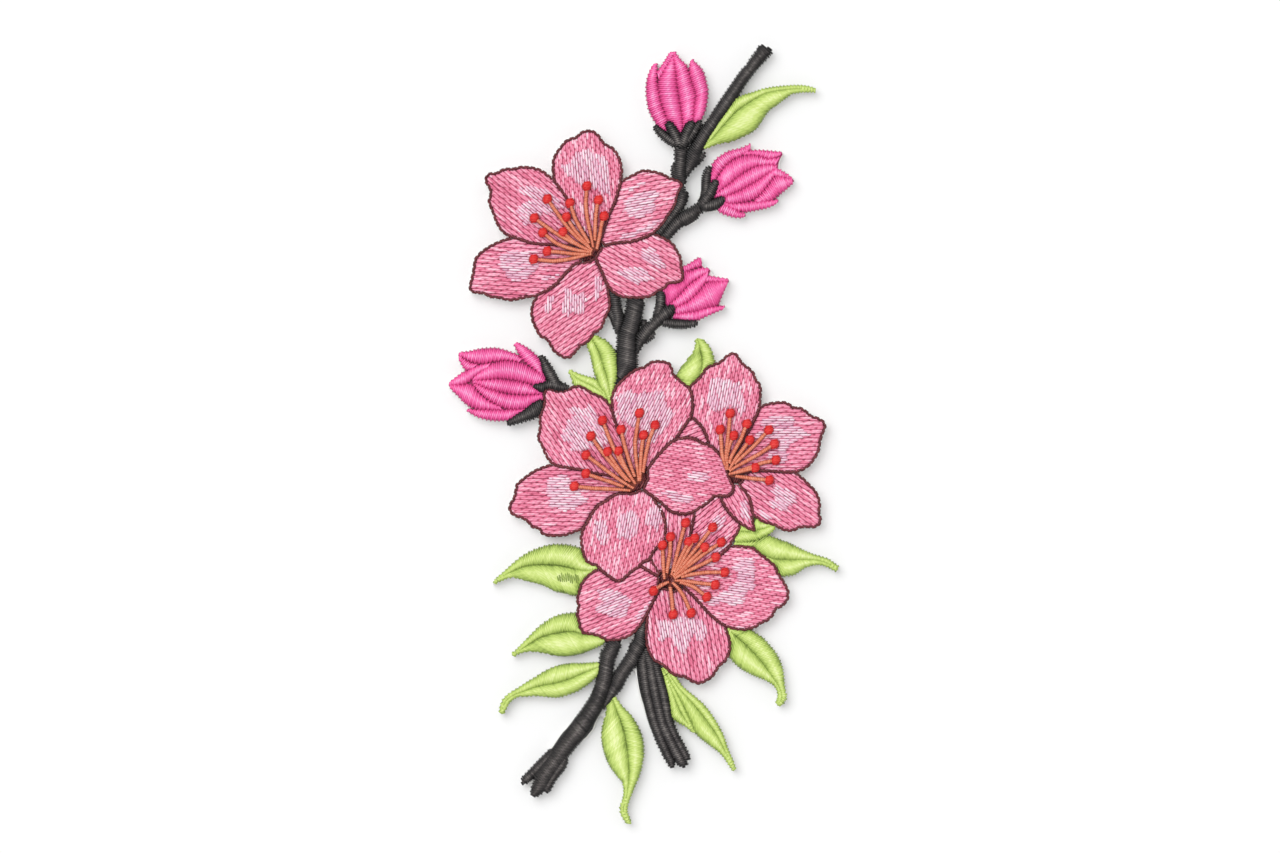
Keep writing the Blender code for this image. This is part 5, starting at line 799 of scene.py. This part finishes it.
def bumped(tree, shader, height, strength, distance):
    bump = wired(tree, "ShaderNodeBump", {"Height": height, "Strength": strength, "Distance": distance})
    tree.links.new(bump.outputs["Normal"], shader.inputs["Normal"])


def new_material(name):
    material = bpy.data.materials.new(name)
    material.use_nodes = True
    return material, material.node_tree, material.node_tree.nodes["Principled BSDF"]


def thread_material(name, *stops, rough=0.4, sheen=0.15):
    """Twisted embroidery thread whose colour runs from painted shade in its grooves to painted highlight on
    its crests, with painted highlights along the twist of its plies.
    """
    material, tree, shader = new_material(name)
    tone = wired(tree, "ShaderNodeAttribute", {}, attribute_name="tone").outputs["Fac"]
    uv = wired(tree, "ShaderNodeUVMap", {}, uv_map="strand").outputs["UV"]
    parts = wired(tree, "ShaderNodeSeparateXYZ", {"Vector": uv})
    round_it = maths(tree, "MULTIPLY", parts.outputs["Y"], 4 * math.pi)
    turn = maths(tree, "MULTIPLY_ADD", parts.outputs["X"], 2 * math.pi / TWIST, round_it)
    plies = maths(tree, "SINE", turn)
    stretch = wired(tree, "ShaderNodeVectorMath", {0: uv, 1: (1.6, 9.0, 1.0)}, operation="MULTIPLY")
    fibre = noise_at(tree, stretch.outputs[0], 1.0, 3.0)
    # the plies' twist adds painted highlight and shade to the tone
    lit = maths(tree, "MULTIPLY_ADD", plies, PLY_PAINTED_SHEEN, tone)
    lit = maths(tree, "MULTIPLY_ADD", maths(tree, "SUBTRACT", fibre, 0.5), 0.22, lit)
    coloured(tree, shader, lit, stops)
    gloss = maths(tree, "MULTIPLY_ADD", fibre, 0.25, rough - 0.1)
    tree.links.new(gloss, shader.inputs["Roughness"])
    bumped(tree, shader, maths(tree, "MULTIPLY_ADD", plies, 0.5, fibre), 0.5, 0.00004)
    tuned(shader, {"Sheen Weight": sheen, "Sheen Roughness": 0.4, "Specular IOR Level": 0.35})
    return material


def felt_material():
    """White felt, slightly uneven in tone, with a fibrous face."""
    material, tree, shader = new_material("felt")
    place = wired(tree, "ShaderNodeTexCoord", {}).outputs["Object"]
    soft = noise_at(tree, place, 900.0, 5.0, Distortion=1.5)
    mixed = maths(tree, "MULTIPLY_ADD", soft, 0.7, noise_at(tree, place, 120.0, 2.0))
    coloured(tree, shader, mixed, [(0.45, 226, 224, 218), (1.1, 252, 251, 248)])
    bumped(tree, shader, soft, 0.7, 0.0002)
    tuned(shader, {"Roughness": 0.95, "Sheen Weight": 0.3})
    return material


# The low stops of each thread's ramp are painted shade and the high ones painted highlight; the thread's own
# colour lies between.
PINK = thread_material("petal_thread", (0, 142, 62, 90), (0.22, 192, 88, 118), (0.45, 229, 116, 148),
    (0.7, 244, 152, 180), (1, 255, 214, 228))
PALE_PINK = thread_material("pale_thread", (0, 158, 86, 118), (0.3, 210, 142, 172),
    (0.55, 239, 186, 209), (1, 255, 236, 245))
MAROON = thread_material("border_thread", (0, 34, 6, 9), (0.4, 74, 20, 26), (0.75, 112, 42, 48),
    (1, 160, 88, 88))
COPPER = thread_material("filament_thread", (0, 96, 34, 24), (0.25, 160, 72, 52), (0.5, 222, 120, 90),
    (1, 255, 190, 160))
RED = thread_material("anther_thread", (0, 104, 4, 8), (0.3, 172, 14, 18), (0.6, 216, 26, 30),
    (1, 242, 80, 72))
HOT_PINK = thread_material("bud_thread", (0, 138, 34, 84), (0.22, 192, 56, 120), (0.45, 234, 80, 150),
    (0.7, 248, 112, 178), (1, 255, 176, 220))
GREEN = thread_material("leaf_thread", (0, 86, 104, 42), (0.22, 140, 164, 74), (0.45, 186, 209, 106),
    (0.7, 213, 231, 136), (1, 242, 250, 188))
BLACK = thread_material("dark_thread", (0, 8, 8, 8), (0.35, 25, 23, 24), (0.6, 58, 54, 54),
    (0.8, 94, 89, 87), (1, 132, 126, 122), rough=0.36, sheen=0.04)
WHITE = thread_material("bobbin_thread", (0, 150, 148, 144), (0.4, 226, 224, 220), (1, 252, 251, 248))

# Petals: paired rows of filling, and paler rows over them.
petal_loops = {name: loops_of("petal_" + name) for name in FILLS}
for name, degrees in FILLS.items():
    filling = Strands()
    fill(filling, petal_loops[name], degrees, **PETAL | (EVEN if name in FINE else COARSE))
    piece("filling_" + name, filling, PINK, "petal_" + name, pad_tone=0.4)
for bloom in "abcd":
    paler = Strands()
    for name in (n for n in PALE if n[0] == bloom):
        for patch in lines(PALE[name]):
            degrees = PALE_TURN.get(name, FILLS[name])
            fill(paler, [patch], degrees, within=petal_loops[name], **PALER)
    piece("highlights_" + bloom, paler, PALE_PINK)


def runs_of(ring, free):
    """The free stretches of a closed ring that has some that isn't, each in one piece."""
    first, found = int(np.argmin(free)), [[]]
    for k in range(first, first + len(ring)):
        if free[k % len(ring)]:
            found[-1].append(ring[k % len(ring)])
        elif found[-1]:
            found.append([])
    return [np.array(run) for run in found if len(run) > 4]


# A border round each petal, drawn once where two share it.
drawn = np.empty((0, 2))
borders = {bloom: Strands() for bloom in "abcd"}
for name, loops in petal_loops.items():
    ring = evenly(loops[0], 0.2, closed=True)
    free = np.ones(len(ring), bool)
    if len(drawn):
        free = np.array([np.hypot(*(drawn - p).T).min() > BORDER_GAP for p in ring])
    if free.all():
        border(borders[name[0]], ring, closed=True)
    else:
        for run in runs_of(ring, free):
            border(borders[name[0]], run)
    drawn = np.vstack([drawn, ring[free]])
for points in lines(LOOSE_BORDERS):
    border(borders["d"], points)
for bloom, strands in borders.items():
    piece("border_" + bloom, strands, MAROON)


def add_filament(strands, points, i):
    """A narrow satin column down a stamen. Every other one stops short of the throat."""
    share = shares(int(length(points) / FILAMENT_PITCH))
    share = share[share < (0.84 if i % 2 else 0.97)]
    ahead = unit(along(points, share + 0.02) - along(points, share - 0.02))
    lift = 0.05 * (i * 3 % 5)
    t = np.linspace(-1, 1, 6)
    swell = np.sqrt(1 - (0.97 * t) ** 2)
    z = FILAMENT_LOW + lift + FILAMENT_RISE * swell
    for at, p, f in zip(share, along(points, share), ahead):
        half = 0.24 + 0.2 * min(1.0, 0.5 + 3 * at, 2.6 * (1 - at))
        d = np.array([-f[1] * 0.92 + f[0] * 0.39, f[0] * 0.92 + f[1] * 0.39])
        xy = p + d * (t * half)[:, None]
        # painted highlight along the crest of the column and painted shade at its edges
        strands.add(xy, z, FILAMENT_THREAD, 0.52 * swell**2.2 + rng.normal(0, 0.05))


def add_anther(strands, x, y):
    """Satin stitches side by side over a round knob."""
    count = 6
    for k in range(count):
        v = (2 * k / (count - 1) - 1) * 0.78
        t = np.linspace(-1, 1, 7)
        reach = 0.98 * math.sqrt(1 - v * v * 0.9)
        swell = np.sqrt(1 - (0.96 * t) ** 2) * math.sqrt(1 - 0.75 * v * v)
        xy = np.column_stack([x + t * reach, y + v * 0.95 + t * 0.12])
        # painted highlight on the top of the knob, painted shade at its rim
        tone = 0.15 + 0.5 * swell + rng.normal(0, 0.05)
        strands.add(xy, ANTHER_LOW + ANTHER_RISE * swell, ANTHER_THREAD, tone)


# Throats and stamens.
for bloom, text in STAMENS.items():
    throat = Strands()
    fill(throat, loops_of("throat_" + bloom), 60, **THROAT)
    piece("throat_fill_" + bloom, throat, MAROON, "throat_" + bloom)
    filaments, anthers = Strands(), Strands()
    for i, points in enumerate(rounded(stamen, 0.2, 6) for stamen in lines(text)):
        add_filament(filaments, points, i)
        add_anther(anthers, *points[0])
    piece("filaments_" + bloom, filaments, COPPER, "stamens_" + bloom)
    piece("anthers_" + bloom, anthers, RED)


def add_dark_patch(strands):
    """The few short, dark stitches that lie across leaf_05."""
    t = np.linspace(0, 1, 6)
    for x in np.arange(-17.1, -12.9, 0.4):
        low_y, high_y = -29.5 + rng.uniform(-0.35, 0.35), -27.9 + rng.uniform(-0.35, 0.35)
        xy = np.column_stack([x + 0.25 * t, high_y + (low_y - high_y) * t]) + MOVE
        z = PATCH_LOW + PATCH_RISE * np.sin(math.pi * t)
        strands.add(xy, z, PATCH_THREAD, 0.12 + rng.normal(0, 0.04))


# Leaves, buds and dark wood, all in satin.
for name, rib in RIBS.items():
    blade = Strands("leaf")
    lobes_from(blade, lines(rib)[0], grown(loops_of(name), SEAM))
    if name == "leaf_05":
        add_dark_patch(blade)
    piece("blade_" + name, blade, GREEN, name)
for name, text in LOBES.items():
    bud = Strands("bud")
    outline = grown(loops_of(name), SEAM)
    for rails in text.split(";"):
        satin_between(bud, lines(rails), outline)
    piece("satin_" + name, bud, HOT_PINK, name)
for name, text in SPINES.items():
    wood = Strands("dark")
    outline = grown(loops_of(name), DARK_SEAM)
    low = BRANCH_LOW if name.startswith("branch") else CALYX_LOW
    for k, column in enumerate(text.split(";")):
        most, spine = column.split(":")
        satin_along(wood, lines(spine)[0], float(most), outline, low + DARK_STEP * k)
    piece("satin_" + name, wood, BLACK, name)

# The felt: cut to the outline, with a soft uneven face and a rounded cut edge.
FELT_VOXEL, FELT_LOW, FELT_THICK = 0.5, 0.14, 1.2
cut = placed("cut", frame["nodes"]["backing"].data.copy())
remesh = cut.modifiers.new("remesh", "REMESH")
remesh.mode, remesh.voxel_size = "VOXEL", FELT_VOXEL / 1000
bpy.context.view_layer.update()
felt_mesh = bpy.data.meshes.new_from_object(cut.evaluated_get(bpy.context.evaluated_depsgraph_get()))
bpy.data.objects.remove(cut)
co = np.empty(len(felt_mesh.vertices) * 3, np.float32)
felt_mesh.vertices.foreach_get("co", co)
co = co.reshape(-1, 3).astype(float) * 1000
co[:, 2] = FELT_LOW + co[:, 2] * (FELT_THICK - FELT_LOW) / FELT_THICK
for point in co:
    soft = noise.noise_vector(Vector(point) * 1.3) + 0.6 * noise.noise_vector(Vector(point) * 3.1)
    point += np.array(soft) * (0.1, 0.1, 0.055)
co[:, 2] = np.clip(co[:, 2], 0.05, FELT_THICK + 0.04)
felt_mesh.vertices.foreach_set("co", (co / 1000).astype(np.float32).ravel())
felt_mesh.shade_smooth()
felt_mesh.update()
felt_mesh.materials.clear()
felt_mesh.materials.append(felt_material())
felt = placed("felt_backing", felt_mesh)
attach(felt, "root")
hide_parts("backing")

# The back: white bobbin thread, with the colours pulled through at the ends of the satin.
bobbin = Strands()
for name, degrees in FILLS.items():
    d, n = axes(degrees)
    ends = np.vstack(petal_loops[name]) @ n
    for row in range(math.ceil(ends.min() / BACK_ROW), math.floor(ends.max() / BACK_ROW) + 1):
        for a, b in spans(row * BACK_ROW * n, d, petal_loops[name]):
            for s in np.arange(a + 0.2, b - 0.9, BACK_STEP):
                e = min(s + BACK_STITCH, b - 0.1)
                xy = row * BACK_ROW * n + (s + (e - s) * np.linspace(0, 1, 4))[:, None] * d
                xy += n * rng.uniform(-0.06, 0.06)
                bobbin.add(xy, [0.17, 0.1, 0.1, 0.17], BACK_THREAD, 0.45 + rng.normal(0, 0.08))
for kind, material in (("leaf", GREEN), ("bud", HOT_PINK), ("dark", BLACK)):
    pulls = Strands()
    for a, b in BACK[kind][::3]:
        if np.hypot(*(b - a)) < 0.8:
            continue
        start, stop = rng.uniform(0.2, 0.3, 2)
        t = np.linspace(start, 1 - stop, 4)[:, None]
        bobbin.add(a + (b - a) * t, [0.16, 0.1, 0.1, 0.16], BACK_THREAD, 0.5 + rng.normal(0, 0.08))
        for t in (np.linspace(0.02, start + 0.04, 4), np.linspace(0.98, 0.96 - stop, 4)):
            z = [0.2, 0.13, 0.13, 0.17]
            pulls.add(a + (b - a) * t[:, None], z, BACK_THREAD, 0.5 + rng.normal(0, 0.08))
    piece("back_" + kind, pulls, material)
piece("back_bobbin", bobbin, WHITE)

# Floor, light and camera.
VIEW_WIDTH, VIEW_CENTRE, CAMERA_HIGH, SENSOR = 0.256, (-0.6, 1.6), 1.2, 36.0
FLOOR_SIZE, FLOOR_DROP = 6, 0.0001
SKY, SUN, SUN_SPREAD, SUN_FROM = 0.72, 1.5, 50, (-0.5, 0.55, 1.0)
bpy.ops.mesh.primitive_plane_add(size=FLOOR_SIZE)
floor = bpy.context.object
floor.name = "floor"
white, _, paint = new_material("floor_white")
tuned(paint, {"Base Color": (0.93, 0.93, 0.93, 1), "Roughness": 0.9, "Specular IOR Level": 0.1})
floor.data.materials.append(white)
floor.location.z = -FLOOR_DROP
floor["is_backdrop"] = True

world = bpy.data.worlds.new("studio")
world.use_nodes = True
tuned(world.node_tree.nodes["Background"], {"Color": (1, 1, 1, 1), "Strength": SKY})
bpy.context.scene.world = world
bpy.context.scene.view_settings.view_transform = "Standard"
key = placed("key", bpy.data.lights.new("key", "SUN"))
key.data.energy = SUN
key.data.angle = math.radians(SUN_SPREAD)
key.rotation_euler = Vector(SUN_FROM).to_track_quat("Z", "Y").to_euler()

camera = placed("camera", bpy.data.cameras.new("camera"))
camera.data.sensor_width = SENSOR
camera.data.lens = SENSOR * CAMERA_HIGH / VIEW_WIDTH
camera.data.clip_start, camera.data.clip_end = 0.05, 10
target = (MOVE + VIEW_CENTRE) / 1000
camera.location = (*target, CAMERA_HIGH)
bpy.context.scene.camera = camera

low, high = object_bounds()
